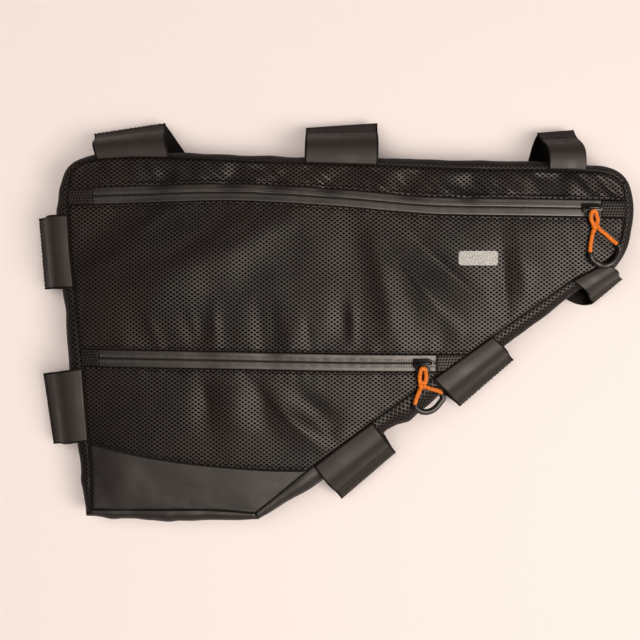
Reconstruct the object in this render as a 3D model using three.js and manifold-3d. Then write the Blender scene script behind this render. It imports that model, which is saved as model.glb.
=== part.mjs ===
import * as THREE from "three";
import { mergeVertices } from "three/addons/utils/BufferGeometryUtils.js";
import Module from "manifold-3d";

// A bicycle frame bag lying on its back: X runs from the seat side to the nose,
// Y from the base to the top tube side, Z from the back panel to the front.

// Main sizes of the bag, in millimetres
const panelLength = 415; // front seam, seat side to nose
const panelHeight = 264; // front seam, base to top
const bagDepth = 40; // front seam above the floor
const crown = 8; // swell of the front above its seam
const crownReach = 38; // distance from the seam over which it swells
const foldRise = 5; // height of the strongest fold
const foldFade = 16; // distance from the seam over which the folds die out
const gussetBulge = 14; // widest swell of the side cloth
const clothWall = 1.2; // thickness of the cloth
const seamGap = 0.3; // clearance between pieces that are sewn together
const seamFlange = 4; // side cloth turned in under the panels

// Zips
const zipWidth = 12.6; // both halves of the tape
const zipSlot = 0.8; // between the halves, where the coil shows
const zipDrop = 0.6; // tape below the cloth beside it
const tapeWall = 1;
const coilWidth = 5;
const coilHeight = 1.8;
const zipStep = 15; // length of one facet along a zip
const upperSeatTab = 18.5; // cloth tab between the seam and the tape
const upperNoseTab = 18.5;
const lowerSeatTab = 12.6;
const lowerNoseTab = 5;

// Sliders and their pulls
const sliderLength = 15;
const lowerSliderBack = 2.2; // the lower slider stands this short of its tape's end
const sliderWidth = 6.8;
const sliderWall = 1.7;
const sliderNose = 2; // width of its blunt front end
const ringWire = 1.3; // wire of the slider's pull ring
const ringWidth = 8;
const ringRoot = 1.4; // where the wire leaves the plate, from the middle of the slider
const ringElbow = 3.1; // where it clears the plate
const ringReach = 6; // ring bar
const cordDiameter = 2.6;
const gripDiameter = 4.3;
const knotLength = 6.4;
const knotWidth = 5.4;
const knotHeight = 4.9;
const clothRoom = 0.7; // between a cord and the cloth's flat facets

// Straps of hook-and-loop tape
const wideStrap = 53.6;
const narrowStrap = 27.4;
const strapWall = 1.6;
const strapReach = 34; // longest strap, from the seam to its end
const strapClear = 0.6; // from the seam to the tape

// The front seam: up the seat side, along the top, round the nose and down the slope.
// x is a share of panelLength, y of panelHeight.
const seamRows = [
  { x: 0.039, y: 0.008 },
  { x: 0.038, y: 0.16 },
  { x: 0.034, y: 0.23 },
  { x: 0.026, y: 0.42 },
  { x: 0.0143, y: 0.602 },
  { x: 0.0045, y: 0.738 },
  { x: 0, y: 0.864 },
  { x: 0.001, y: 0.92 },
  { x: 0.01, y: 0.968 },
  { x: 0.045, y: 0.994 },
  { x: 0.182, y: 1 },
  { x: 0.305, y: 0.991 },
  { x: 0.553, y: 0.979 },
  { x: 0.742, y: 0.968 },
  { x: 0.925, y: 0.965 },
  { x: 0.972, y: 0.955 },
  { x: 0.993, y: 0.929 },
  { x: 1, y: 0.871 },
  { x: 0.997, y: 0.81 },
  { x: 0.986, y: 0.75 },
  { x: 0.965, y: 0.708 },
  { x: 0.91, y: 0.663 },
  { x: 0.859, y: 0.609 },
  { x: 0.66, y: 0.388 },
  { x: 0.462, y: 0.162 },
  { x: 0.356, y: 0.026 },
  { x: 0.334, y: 0 },
];
const baseRows = [
  { x: 0.334, y: 0 },
  { x: 0.25, y: 0.0087 },
  { x: 0.15, y: 0.0087 },
  { x: 0.039, y: 0.008 },
];

// Where the sides of the seam meet, as shares of its length; guardShare starts the coated cloth
const cornerShares = { seatShare: 0.247, noseShare: 0.634, guardShare: 0.912 };

// Lines across the front, in the same shares
const upperZipRows = [
  { x: 0, y: 0.891 },
  { x: 0.15, y: 0.898 },
  { x: 0.3, y: 0.903 },
  { x: 0.47, y: 0.889 },
  { x: 0.61, y: 0.87 },
  { x: 0.7, y: 0.8635 },
  { x: 1, y: 0.858 },
];
const lowerZipRows = [
  { x: 0, y: 0.4405 },
  { x: 0.25, y: 0.434 },
  { x: 0.5, y: 0.4263 },
  { x: 0.72, y: 0.4233 },
];
const guardRows = [
  { x: 0.03, y: 0.199 },
  { x: 0.08, y: 0.1825 },
  { x: 0.15, y: 0.16 },
  { x: 0.243, y: 0.14 },
  { x: 0.35, y: 0.126 },
  { x: 0.44, y: 0.122 },
];

// Swell of the side cloth along the seam and along the base; swell is a share of gussetBulge
const seamSwell = [
  { at: 0, swell: 0.45 },
  { at: 0.022, swell: 0.72 },
  { at: 0.05, swell: 0.84 },
  { at: 0.1, swell: 0.95 },
  { at: 0.15, swell: 0.86 },
  { at: 0.215, swell: 0.86 },
  { at: 0.25, swell: 0.46 },
  { at: 0.33, swell: 0.46 },
  { at: 0.41, swell: 0.52 },
  { at: 0.5, swell: 0.6 },
  { at: 0.57, swell: 0.64 },
  { at: 0.61, swell: 0.48 },
  { at: 0.65, swell: 0.64 },
  { at: 0.69, swell: 0.66 },
  { at: 0.75, swell: 0.8 },
  { at: 0.8, swell: 0.96 },
  { at: 0.842, swell: 0.98 },
  { at: 0.856, swell: 1.2 },
  { at: 0.874, swell: 1.2 },
  { at: 0.89, swell: 0.95 },
  { at: 0.94, swell: 1.08 },
  { at: 0.97, swell: 0.77 },
  { at: 1, swell: 0.48 },
];
const baseSwell = [
  { at: 0, swell: 0.48 },
  { at: 0.12, swell: 0.62 },
  { at: 0.3, swell: 0.78 },
  { at: 0.7, swell: 0.7 },
  { at: 0.92, swell: 0.58 },
  { at: 1, swell: 0.45 },
];

// Section of the side cloth from the front to the back: out is a share of its swell,
// up a share of the seam's height
const gussetSection = [
  { out: 0.35, up: 0.945 },
  { out: 0.72, up: 0.85 },
  { out: 0.95, up: 0.66 },
  { out: 1, up: 0.46 },
  { out: 0.93, up: 0.28 },
  { out: 0.7, up: 0.14 },
  { out: 0.35, up: 0.085 },
];

// Folds and dents of the front: x and y place the middle, along and across are half lengths
// as shares of panelLength, turn is in degrees, rise a share of foldRise
const foldRows = [
  { x: 0.65, y: 0.6, along: 0.107, across: 0.026, turn: -46, rise: 0.6 },
  { x: 0.515, y: 0.645, along: 0.09, across: 0.032, turn: -80, rise: -0.75 },
  { x: 0.22, y: 0.7, along: 0.16, across: 0.07, turn: 22, rise: 0.7 },
  { x: 0.665, y: 0.7, along: 0.1, across: 0.022, turn: -45, rise: -0.5 },
  { x: 0.779, y: 0.643, along: 0.07, across: 0.024, turn: -88, rise: -0.5 },
  { x: 0.82, y: 0.7, along: 0.07, across: 0.03, turn: -80, rise: 0.4 },
  { x: 0.237, y: 0.505, along: 0.03, across: 0.022, turn: -70, rise: -0.55 },
  { x: 0.358, y: 0.52, along: 0.045, across: 0.022, turn: -85, rise: -0.6 },
  { x: 0.495, y: 0.53, along: 0.04, across: 0.02, turn: -80, rise: -0.5 },
  { x: 0.0766, y: 0.81, along: 0.08, across: 0.04, turn: 40, rise: -0.6 },
  { x: 0.444, y: 0.2875, along: 0.06, across: 0.021, turn: -40, rise: -0.6 },
  { x: 0.408, y: 0.25, along: 0.06, across: 0.025, turn: -40, rise: 0.5 },
  { x: 0.348, y: 0.31, along: 0.04, across: 0.021, turn: -66, rise: -0.6 },
  { x: 0.248, y: 0.31, along: 0.05, across: 0.021, turn: -85, rise: -0.5 },
  { x: 0.3, y: 0.293, along: 0.05, across: 0.03, turn: -80, rise: 0.35 },
  { x: 0.091, y: 0.111, along: 0.045, across: 0.025, turn: -57, rise: 0.5 },
  { x: 0.148, y: 0.12, along: 0.04, across: 0.025, turn: -50, rise: -0.4 },
  { x: 0.17, y: 0.945, along: 0.027, across: 0.018, turn: 35, rise: -0.5 },
  { x: 0.29, y: 0.943, along: 0.027, across: 0.018, turn: 35, rise: -0.5 },
  { x: 0.376, y: 0.94, along: 0.027, across: 0.018, turn: 35, rise: -0.5 },
  { x: 0.469, y: 0.935, along: 0.027, across: 0.018, turn: 40, rise: -0.5 },
  { x: 0.604, y: 0.925, along: 0.027, across: 0.018, turn: -40, rise: -0.5 },
  { x: 0.708, y: 0.92, along: 0.027, across: 0.018, turn: -60, rise: -0.5 },
];

// Where the bag sags below its full depth; drop is a share of bagDepth
const sagRows = [
  { x: 0.04, y: 0.01, reach: 0.16, drop: 0.16 },
  { x: 1, y: 0.87, reach: 0.14, drop: 0.1 },
  { x: 0, y: 1, reach: 0.1, drop: 0.06 },
  { x: 0.33, y: 0, reach: 0.12, drop: 0.1 },
];

// The straps: at is the middle on the seam, reaches are shares of strapReach at the edges
// towards the start and the end of the seam, tip and back are its end's and back leg's shifts, in widths
const strapRows = [
  { name: "seat_lower", at: 0.0753, width: wideStrap, first: 0.93, last: 1.06, tip: -0.06, back: 0 },
  { name: "seat_upper", at: 0.1837, width: wideStrap, first: 0.8, last: 0.8, tip: 0.04, back: 0 },
  { name: "top_rear", at: 0.286, width: wideStrap, first: 0.64, last: 0.88, tip: -0.13, back: 0.26 },
  { name: "top_middle", at: 0.4328, width: wideStrap, first: 0.91, last: 1.06, tip: 0, back: 0 },
  { name: "top_front", at: 0.5926, width: narrowStrap, first: 0.93, last: 1.01, tip: -0.14, back: -0.42 },
  { name: "slope_upper", at: 0.7089, width: narrowStrap, first: 0.49, last: 0.71, tip: -0.5, back: 0.3 },
  { name: "slope_middle", at: 0.8165, width: wideStrap, first: 0.77, last: 0.92, tip: -0.11, back: 0.06 },
  { name: "slope_lower", at: 0.9204, width: wideStrap, first: 0.94, last: 1.05, tip: 0, back: -0.06 },
];

// A strap from the seam to its end: front is the height of its front leg as a share of the
// seam's, back how near the back leg has come to it, from the floor at 0 to pressed on at 1
const legRows = [
  { out: 0, front: 0.985, back: 0 },
  { out: 0.2, front: 0.96, back: 0 },
  { out: 0.4, front: 0.88, back: 0 },
  { out: 0.56, front: 0.75, back: 0 },
  { out: 0.68, front: 0.61, back: 0 },
  { out: 0.78, front: 0.48, back: 0.16 },
  { out: 0.88, front: 0.37, back: 0.62 },
  { out: 0.94, front: 0.32, back: 1 },
  { out: 1, front: 0.3, back: 1 },
];

// Pulls: places from the middle of the slider in millimetres. up is the middle's height, for a
// loop above the slider's seat and for the rest above the cloth below it
const upperPull = {
  loop: [
    { x: 1.5, y: -12.4, up: 3 },
    { x: -0.2, y: -10, up: 4.4 },
    { x: -1.4, y: -7.8, up: 6 },
    { x: -1, y: -6, up: 6.6 },
    { x: -0.4, y: -4.3, up: 5.8 },
    { x: 0, y: -3.6, up: 4.2 },
    { x: 0.4, y: -4.3, up: 2.5 },
    { x: 1, y: -6, up: 1.75 },
    { x: 1.9, y: -8, up: 1.75 },
    { x: 2.6, y: -10.3, up: 2 },
    { x: 2.8, y: -12.4, up: 2.4 },
  ],
  knot: { x: 2.3, y: -13, up: 3.2, turn: -80 },
  legs: [
    [
      { x: 1, y: -15, up: 2.7 },
      { x: -0.4, y: -19, up: 2.4 },
      { x: -1.8, y: -26.6, up: 2.5 },
      { x: -2.2, y: -33.2, up: 3 },
    ],
    [
      { x: 4, y: -14.6, up: 2.7 },
      { x: 8, y: -18, up: 2.5 },
      { x: 13.6, y: -22.9, up: 2.6 },
      { x: 18.2, y: -26.6, up: 3 },
    ],
  ],
  grip: [
    { x: -2.2, y: -33.9, up: 3 },
    { x: -1.9, y: -35.8, up: 3.5 },
    { x: -0.3, y: -38.6, up: 3.8 },
    { x: 3.6, y: -41.4, up: 4.5 },
    { x: 8.8, y: -42.7, up: 5 },
    { x: 14.8, y: -40.3, up: 4.8 },
    { x: 19.2, y: -34.6, up: 3.8 },
    { x: 20.5, y: -30, up: 3.5 },
    { x: 18.9, y: -27.3, up: 3.1 },
  ],
};
const lowerPull = {
  loop: [
    { x: -1.2, y: -14.8, up: 3 },
    { x: -2.2, y: -11.6, up: 4.4 },
    { x: -2, y: -8, up: 6 },
    { x: -1, y: -6, up: 6.6 },
    { x: -0.4, y: -4.3, up: 5.8 },
    { x: 0, y: -3.6, up: 4.2 },
    { x: 0.4, y: -4.3, up: 2.5 },
    { x: 1, y: -6, up: 1.75 },
    { x: 1.5, y: -8.4, up: 1.75 },
    { x: 1.2, y: -11.6, up: 2 },
    { x: 0.4, y: -14.8, up: 2.4 },
  ],
  knot: { x: -0.6, y: -15.6, up: 3.6, turn: -85 },
  legs: [
    [
      { x: -2, y: -17.6, up: 3 },
      { x: -3.8, y: -21.4, up: 3 },
      { x: -5.2, y: -26, up: 3 },
      { x: -6, y: -30, up: 3.2 },
    ],
    [
      { x: 1.4, y: -16.6, up: 3.5 },
      { x: 5.4, y: -18.6, up: 3 },
      { x: 9.8, y: -20, up: 3 },
      { x: 12.9, y: -21, up: 4 },
      { x: 13.9, y: -22.3, up: 6.8 },
    ],
  ],
  grip: [
    { x: -6.1, y: -31, up: 3.2 },
    { x: -5.4, y: -32.8, up: 3.5 },
    { x: -2, y: -35.4, up: 4.6 },
    { x: 3.2, y: -36.2, up: 10 },
    { x: 8.6, y: -34, up: 10.6 },
    { x: 12.8, y: -29.4, up: 10.4 },
    { x: 15, y: -25.8, up: 10.5 },
    { x: 14.3, y: -23.6, up: 5.4 },
  ],
};

const wasm = await Module();
wasm.setup();

// The seam as two curves that share their end corners
function curveOf(rows) {
  const points = rows.map((row) => new THREE.Vector3(row.x * panelLength, row.y * panelHeight, 0));
  const curve = new THREE.CatmullRomCurve3(points, false, "centripetal");
  curve.arcLengthDivisions = 600;
  return curve;
}
const seam = curveOf(seamRows);
const base = curveOf(baseRows);
const seamLength = seam.getLength();

function normalAt(curve, share) {
  const tangent = curve.getTangentAt(THREE.MathUtils.clamp(share, 0, 1));
  return new THREE.Vector2(-tangent.y, tangent.x);
}

// Outward direction; at the two corners it is mitred between the curves
function outwardAt(curve, share) {
  const own = normalAt(curve, share);
  if (share > 0 && share < 1) return own;
  const other = normalAt(curve === seam ? base : seam, share > 0 ? 0 : 1);
  return own.clone().add(other).divideScalar(1 + own.dot(other));
}

function edgePoint(curve, share, out) {
  const point = curve.getPointAt(THREE.MathUtils.clamp(share, 0, 1));
  const outward = outwardAt(curve, share);
  return new THREE.Vector2(point.x + outward.x * out, point.y + outward.y * out);
}

// Value of a column at a place, between rows that are in order
function between(rows, key, value, at) {
  const next = rows.findIndex((row) => row[key] >= at);
  if (next < 0) return rows[rows.length - 1][value];
  if (next === 0) return rows[0][value];
  const [low, high] = [rows[next - 1], rows[next]];
  const part = (at - low[key]) / (high[key] - low[key]);
  return THREE.MathUtils.lerp(low[value], high[value], part);
}

// A line across the front as a function of X, smooth through its rows
function lineOf(rows) {
  const spline = new THREE.SplineCurve(rows.map((row) => new THREE.Vector2(row.x, row.y)));
  const fine = spline.getPoints(rows.length * 12);
  return (x) => panelHeight * between(fine, "x", "y", x / panelLength);
}
const upperZipLine = lineOf(upperZipRows);
const lowerZipLine = lineOf(lowerZipRows);
const guardLine = lineOf(guardRows);

// Share of the seam where it crosses a line, between two shares
function crossing(line, low, high) {
  const above = (share) => {
    const point = seam.getPointAt(share);
    return point.y > line(point.x);
  };
  const atHigh = above(high);
  for (let step = 0; step < 40; step += 1) {
    const middle = (low + high) / 2;
    if (above(middle) === atHigh) high = middle;
    else low = middle;
  }
  return (low + high) / 2;
}

// Nearest place on the outline: distance inside it (negative outside) and share of the seam
const outlineSteps = 220;
const outlinePoints = [seam, base].flatMap((curve) =>
  Array.from({ length: outlineSteps }, (_, step) => ({
    curve,
    share: step / outlineSteps,
    point: edgePoint(curve, step / outlineSteps, 0),
    outward: normalAt(curve, step / outlineSteps),
  })),
);
function nearestEdge(x, y) {
  let best = { distance: Infinity };
  for (const place of outlinePoints) {
    const distance = Math.hypot(x - place.point.x, y - place.point.y);
    if (distance < best.distance) best = { ...place, distance };
  }
  const side = (x - best.point.x) * best.outward.x + (y - best.point.y) * best.outward.y;
  return { curve: best.curve, share: best.share, inside: side > 0 ? -best.distance : best.distance };
}

// Height of the seam above the floor
function seamHeight(x, y) {
  let drop = 0;
  for (const sag of sagRows) {
    const away = Math.hypot(x - sag.x * panelLength, y - sag.y * panelHeight);
    drop += sag.drop * Math.exp(-((away / (sag.reach * panelLength)) ** 2));
  }
  return bagDepth * (1 - drop);
}

// Height of the front cloth, with its crown and folds
function frontHeight(x, y) {
  const inside = Math.max(nearestEdge(x, y).inside, 0);
  let folds = 0;
  for (const fold of foldRows) {
    const turn = THREE.MathUtils.degToRad(fold.turn);
    const dx = x - fold.x * panelLength;
    const dy = y - fold.y * panelHeight;
    const along = (dx * Math.cos(turn) + dy * Math.sin(turn)) / (fold.along * panelLength);
    const across = (dy * Math.cos(turn) - dx * Math.sin(turn)) / (fold.across * panelLength);
    folds += fold.rise * Math.exp(-along * along - across * across);
  }
  const fade = THREE.MathUtils.smoothstep(inside, 0, foldFade);
  return seamHeight(x, y) + crown * (1 - Math.exp(-inside / crownReach)) + foldRise * folds * fade;
}

// Swell of the side cloth
function swellAt(curve, share) {
  return gussetBulge * between(curve === seam ? seamSwell : baseSwell, "at", "swell", share);
}

// Height of the side cloth under a place outside the seam, clear to the side by some room
function shoulderHeight(x, y, room) {
  const edge = nearestEdge(x, y);
  const out = Math.max(-edge.inside - room, 0) / swellAt(edge.curve, edge.share);
  if (out > 1) return 0;
  const height = seamHeight(x, y);
  const skin = [{ out: 0, up: 1 - (clothWall + seamGap) / height }, ...gussetSection.slice(0, 4)];
  return height * between(skin, "out", "up", out);
}

// Height of what lies under a place on the front or just outside its seam
function restHeight(x, y, room) {
  if (nearestEdge(x, y).inside >= 0) return frontHeight(x, y);
  return Math.max(shoulderHeight(x, y, room), seamHeight(x, y) * gussetSection[2].up);
}

// Closed body between two grids of points that have the same rows and columns
function slab(outer, inner) {
  const rows = outer.length;
  const columns = outer[0].length;
  const count = rows * columns;
  const positions = [...outer.flat(), ...inner.flat()].flatMap((point) => point.toArray());
  const index = [];
  const at = (row, column, side) => side * count + row * columns + column;
  const quad = (a, b, c, d) => index.push(a, b, c, a, c, d);
  for (let row = 0; row < rows - 1; row += 1) {
    for (let column = 0; column < columns - 1; column += 1) {
      quad(at(row, column, 0), at(row, column + 1, 0), at(row + 1, column + 1, 0), at(row + 1, column, 0));
      quad(at(row, column, 1), at(row + 1, column, 1), at(row + 1, column + 1, 1), at(row, column + 1, 1));
    }
    quad(at(row, 0, 0), at(row + 1, 0, 0), at(row + 1, 0, 1), at(row, 0, 1));
    const last = columns - 1;
    quad(at(row, last, 1), at(row + 1, last, 1), at(row + 1, last, 0), at(row, last, 0));
  }
  for (let column = 0; column < columns - 1; column += 1) {
    quad(at(0, column, 1), at(0, column + 1, 1), at(0, column + 1, 0), at(0, column, 0));
    const last = rows - 1;
    quad(at(last, column, 0), at(last, column + 1, 0), at(last, column + 1, 1), at(last, column, 1));
  }
  return facingOut(positions, index);
}

// Geometry with its faces pointing out
function facingOut(positions, index) {
  const [a, b, c] = [new THREE.Vector3(), new THREE.Vector3(), new THREE.Vector3()];
  let volume = 0;
  for (let face = 0; face < index.length; face += 3) {
    a.fromArray(positions, index[face] * 3);
    b.fromArray(positions, index[face + 1] * 3);
    c.fromArray(positions, index[face + 2] * 3);
    volume += a.dot(b.cross(c));
  }
  if (volume < 0) {
    for (let face = 0; face < index.length; face += 3) {
      [index[face], index[face + 1]] = [index[face + 1], index[face]];
    }
  }
  const geometry = new THREE.BufferGeometry();
  geometry.setAttribute("position", new THREE.Float32BufferAttribute(positions, 3));
  geometry.setIndex(index);
  return geometry;
}

// Grid of plan points between four sides: top and bottom run from the seat side to the nose,
// seat and nose from the top down
function patch(sides, rows, columns) {
  const corner = {
    topSeat: sides.top(0),
    topNose: sides.top(1),
    bottomSeat: sides.bottom(0),
    bottomNose: sides.bottom(1),
  };
  const grid = [];
  for (let row = 0; row <= rows; row += 1) {
    const down = row / rows;
    const line = [];
    for (let column = 0; column <= columns; column += 1) {
      const over = column / columns;
      const point = new THREE.Vector2();
      point.addScaledVector(sides.top(over), 1 - down).addScaledVector(sides.bottom(over), down);
      point.addScaledVector(sides.seat(down), 1 - over).addScaledVector(sides.nose(down), over);
      point.addScaledVector(corner.topSeat, -(1 - over) * (1 - down));
      point.addScaledVector(corner.topNose, -over * (1 - down));
      point.addScaledVector(corner.bottomSeat, -(1 - over) * down);
      point.addScaledVector(corner.bottomNose, -over * down);
      line.push(point);
    }
    grid.push(line);
  }
  return grid;
}

// Sheet of cloth over a grid of plan points, its top at a height that depends on the place
function sheet(grid, topHeight, wall) {
  const top = grid.map((line) => line.map((p) => new THREE.Vector3(p.x, p.y, topHeight(p.x, p.y))));
  const under = top.map((line) => line.map((p) => new THREE.Vector3(p.x, p.y, p.z - wall)));
  return slab(top, under);
}

// Sides of a patch
const inset = -seamGap / 2;
const halfZip = zipWidth / 2;
const alongSeam = (from, to) => (part) => edgePoint(seam, THREE.MathUtils.lerp(from, to, part), inset);
function alongLine(line, offset, from, to) {
  return (part) => {
    const x = THREE.MathUtils.lerp(from, to, part);
    return new THREE.Vector2(x, line(x) + offset);
  };
}

// A line across the front from seam to seam, moved up by an offset
function acrossFront(line, offset) {
  const moved = (x) => line(x) + offset;
  const seatShare = crossing(moved, 0, cornerShares.seatShare);
  const noseShare = crossing(moved, cornerShares.noseShare, 1);
  const seatX = edgePoint(seam, seatShare, inset).x;
  const noseX = edgePoint(seam, noseShare, inset).x;
  return { seatShare, noseShare, seatX, noseX, side: alongLine(line, offset, seatX, noseX) };
}

const edges = {
  upperZipTop: acrossFront(upperZipLine, halfZip + seamGap),
  upperZipBottom: acrossFront(upperZipLine, -halfZip - seamGap),
  lowerZipTop: acrossFront(lowerZipLine, halfZip + seamGap),
  lowerZipBottom: acrossFront(lowerZipLine, -halfZip - seamGap),
  guardTop: acrossFront(guardLine, seamGap / 2),
  guardBottom: acrossFront(guardLine, -seamGap / 2),
};
const baseSide = (part) => edgePoint(base, 1 - part, inset);

const bandSides = (high, low) => ({
  top: high.side,
  bottom: low.side,
  seat: alongSeam(high.seatShare, low.seatShare),
  nose: alongSeam(high.noseShare, low.noseShare),
});
const topSides = {
  top: alongSeam(cornerShares.seatShare, cornerShares.noseShare),
  bottom: edges.upperZipTop.side,
  seat: alongSeam(cornerShares.seatShare, edges.upperZipTop.seatShare),
  nose: alongSeam(cornerShares.noseShare, edges.upperZipTop.noseShare),
};
const guardSides = {
  top: edges.guardBottom.side,
  bottom: baseSide,
  seat: alongSeam(edges.guardBottom.seatShare, 0),
  nose: alongSeam(edges.guardBottom.noseShare, 1),
};
const backSides = {
  top: alongSeam(cornerShares.seatShare, cornerShares.noseShare),
  bottom: edges.guardTop.side,
  seat: alongSeam(cornerShares.seatShare, edges.guardTop.seatShare),
  nose: alongSeam(cornerShares.noseShare, edges.guardTop.noseShare),
};

const group = new THREE.Group();
const finishes = {
  ripstop: { color: 0x3d3937, roughness: 0.75, metalness: 0 },
  coated: { color: 0x4a4643, roughness: 0.5, metalness: 0 },
  zip: { color: 0x4c4640, roughness: 0.55, metalness: 0 },
  tape: { color: 0x5a5552, roughness: 0.6, metalness: 0 },
  hook: { color: 0x1c1a1a, roughness: 0.9, metalness: 0 },
  metal: { color: 0x141212, roughness: 0.25, metalness: 0.6 },
  cord: { color: 0xf5861f, roughness: 0.6, metalness: 0 },
  grip: { color: 0x191717, roughness: 0.4, metalness: 0 },
};
function addPiece(name, finish, geometry) {
  const mesh = new THREE.Mesh(geometry, new THREE.MeshStandardMaterial(finishes[finish]));
  mesh.name = name;
  group.add(mesh);
  return mesh;
}

// Front and back panels
addPiece("upper_panel", "ripstop", sheet(patch(topSides, 3, 28), frontHeight, clothWall));
const middleSides = bandSides(edges.upperZipBottom, edges.lowerZipTop);
addPiece("middle_panel", "ripstop", sheet(patch(middleSides, 10, 28), frontHeight, clothWall));
const lowerSides = bandSides(edges.lowerZipBottom, edges.guardTop);
addPiece("lower_panel", "ripstop", sheet(patch(lowerSides, 6, 20), frontHeight, clothWall));
addPiece("front_guard", "coated", sheet(patch(guardSides, 3, 14), frontHeight, clothWall));
addPiece("back_panel", "ripstop", sheet(patch(backSides, 12, 11), () => clothWall, clothWall));
addPiece("back_guard", "coated", sheet(patch(guardSides, 1, 8), () => clothWall, clothWall));

// Side cloth between the two seams, from one share of a curve to another
function gussetPiece(curve, from, to, steps) {
  const length = curve.getLength();
  const shares = { first: from + seamGap / 2 / length, last: to - seamGap / 2 / length };
  const outer = [];
  const inner = [];
  for (let step = 0; step <= steps; step += 1) {
    const share = THREE.MathUtils.lerp(shares.first, shares.last, step / steps);
    const corner = THREE.MathUtils.lerp(from, to, step / steps);
    const mitred = corner <= 0 || corner >= 1 ? outwardAt(curve, corner) : normalAt(curve, share);
    const origin = curve.getPointAt(share);
    const height = seamHeight(origin.x, origin.y);
    const section = gussetWalls(height, swellAt(curve, share));
    const place = ({ out, z }) => new THREE.Vector3(origin.x + mitred.x * out, origin.y + mitred.y * out, z);
    outer.push(section.outer.map(place));
    inner.push(section.inner.map(place));
  }
  return slab(outer, inner);
}

// Both faces of the side cloth at one place: tucked in under the front panel, swelling out,
// stepping over the straps' back legs and tucked in over the back panel
function gussetWalls(height, swell) {
  const frontTuck = height - clothWall - seamGap;
  const backTuck = clothWall + seamGap;
  const backStep = Math.max(clothWall, strapWall) + 2 * seamGap;
  const outer = [
    { out: -seamFlange, z: frontTuck },
    { out: 0, z: frontTuck },
    ...gussetSection.map((row) => {
      return { out: row.out * swell, z: Math.max(row.up * height, backStep + row.out) };
    }),
    { out: 0, z: backStep },
    { out: -seamGap, z: backTuck },
    { out: -seamFlange, z: backTuck },
  ];
  const inner = outer.map((point, place) => {
    const before = outer[Math.max(place - 1, 0)];
    const after = outer[Math.min(place + 1, outer.length - 1)];
    const run = new THREE.Vector2(after.out - before.out, after.z - before.z).normalize();
    return { out: point.out + run.y * clothWall, z: point.z - run.x * clothWall };
  });
  inner[0].out = outer[0].out;
  inner[inner.length - 1].out = outer[outer.length - 1].out;
  return { outer, inner };
}
addPiece("gusset_seat", "ripstop", gussetPiece(seam, 0, cornerShares.seatShare, 14));
addPiece("gusset_top", "ripstop", gussetPiece(seam, cornerShares.seatShare, cornerShares.noseShare, 17));
addPiece("gusset_nose", "ripstop", gussetPiece(seam, cornerShares.noseShare, cornerShares.guardShare, 18));
addPiece("gusset_slope", "coated", gussetPiece(seam, cornerShares.guardShare, 1, 8));
addPiece("gusset_base", "coated", gussetPiece(base, 0, 1, 9));

// A zip with its two cloth tabs, both halves of its tape and its coil
const tapeHeight = (x, y) => frontHeight(x, y) - zipDrop;
function addZip(name, line, seatTab, noseTab) {
  const high = acrossFront(line, halfZip);
  const low = acrossFront(line, -halfZip);
  const from = Math.max(high.seatX, low.seatX) + seatTab;
  const to = Math.min(high.noseX, low.noseX) - noseTab;
  const upright = (x) => (part) => new THREE.Vector2(x, line(x) + halfZip - part * zipWidth);
  const seatEnd = from - seamGap;
  const noseEnd = to + seamGap;
  const seatSides = {
    top: alongLine(line, halfZip, high.seatX, seatEnd),
    bottom: alongLine(line, -halfZip, low.seatX, seatEnd),
    seat: alongSeam(high.seatShare, low.seatShare),
    nose: upright(seatEnd),
  };
  const noseSides = {
    top: alongLine(line, halfZip, noseEnd, high.noseX),
    bottom: alongLine(line, -halfZip, noseEnd, low.noseX),
    seat: upright(noseEnd),
    nose: alongSeam(high.noseShare, low.noseShare),
  };
  addPiece(`${name}_seat_tab`, "ripstop", sheet(patch(seatSides, 2, 3), frontHeight, clothWall));
  addPiece(`${name}_nose_tab`, "ripstop", sheet(patch(noseSides, 2, 3), frontHeight, clothWall));
  const steps = Math.round((to - from) / zipStep);
  const strip = (high, low) => {
    const lines = [alongLine(line, high, from, to), alongLine(line, low, from, to)];
    return lines.map((side) => Array.from({ length: steps + 1 }, (_, step) => side(step / steps)));
  };
  addPiece(`${name}_tape_top`, "zip", sheet(strip(halfZip, zipSlot / 2), tapeHeight, tapeWall));
  addPiece(`${name}_tape_bottom`, "zip", sheet(strip(-zipSlot / 2, -halfZip), tapeHeight, tapeWall));
  const coilTop = (x, y) => tapeHeight(x, y) - tapeWall - 2 * seamGap;
  addPiece(`${name}_coil`, "zip", sheet(strip(coilWidth / 2, -coilWidth / 2), coilTop, coilHeight));
  return { from, to };
}
const upperZip = addZip("upper_zip", upperZipLine, upperSeatTab, upperNoseTab);
const lowerZip = addZip("lower_zip", lowerZipLine, lowerSeatTab, lowerNoseTab);

// Joining with a solid library, and back to a three.js geometry
function solidOf(geometry) {
  const bare = new THREE.BufferGeometry();
  bare.setAttribute("position", geometry.getAttribute("position"));
  if (geometry.index) bare.setIndex(geometry.index);
  const merged = mergeVertices(bare, 1e-4);
  const vertProperties = new Float32Array(merged.getAttribute("position").array);
  const triVerts = new Uint32Array(merged.index.array);
  return new wasm.Manifold(new wasm.Mesh({ numProp: 3, vertProperties, triVerts }));
}
function joined(geometries) {
  const whole = geometries.map(solidOf).reduce((left, right) => left.add(right));
  const mesh = whole.getMesh();
  const geometry = new THREE.BufferGeometry();
  geometry.setAttribute("position", new THREE.BufferAttribute(new Float32Array(mesh.vertProperties), 3));
  geometry.setIndex(Array.from(mesh.triVerts));
  return geometry;
}

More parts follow.
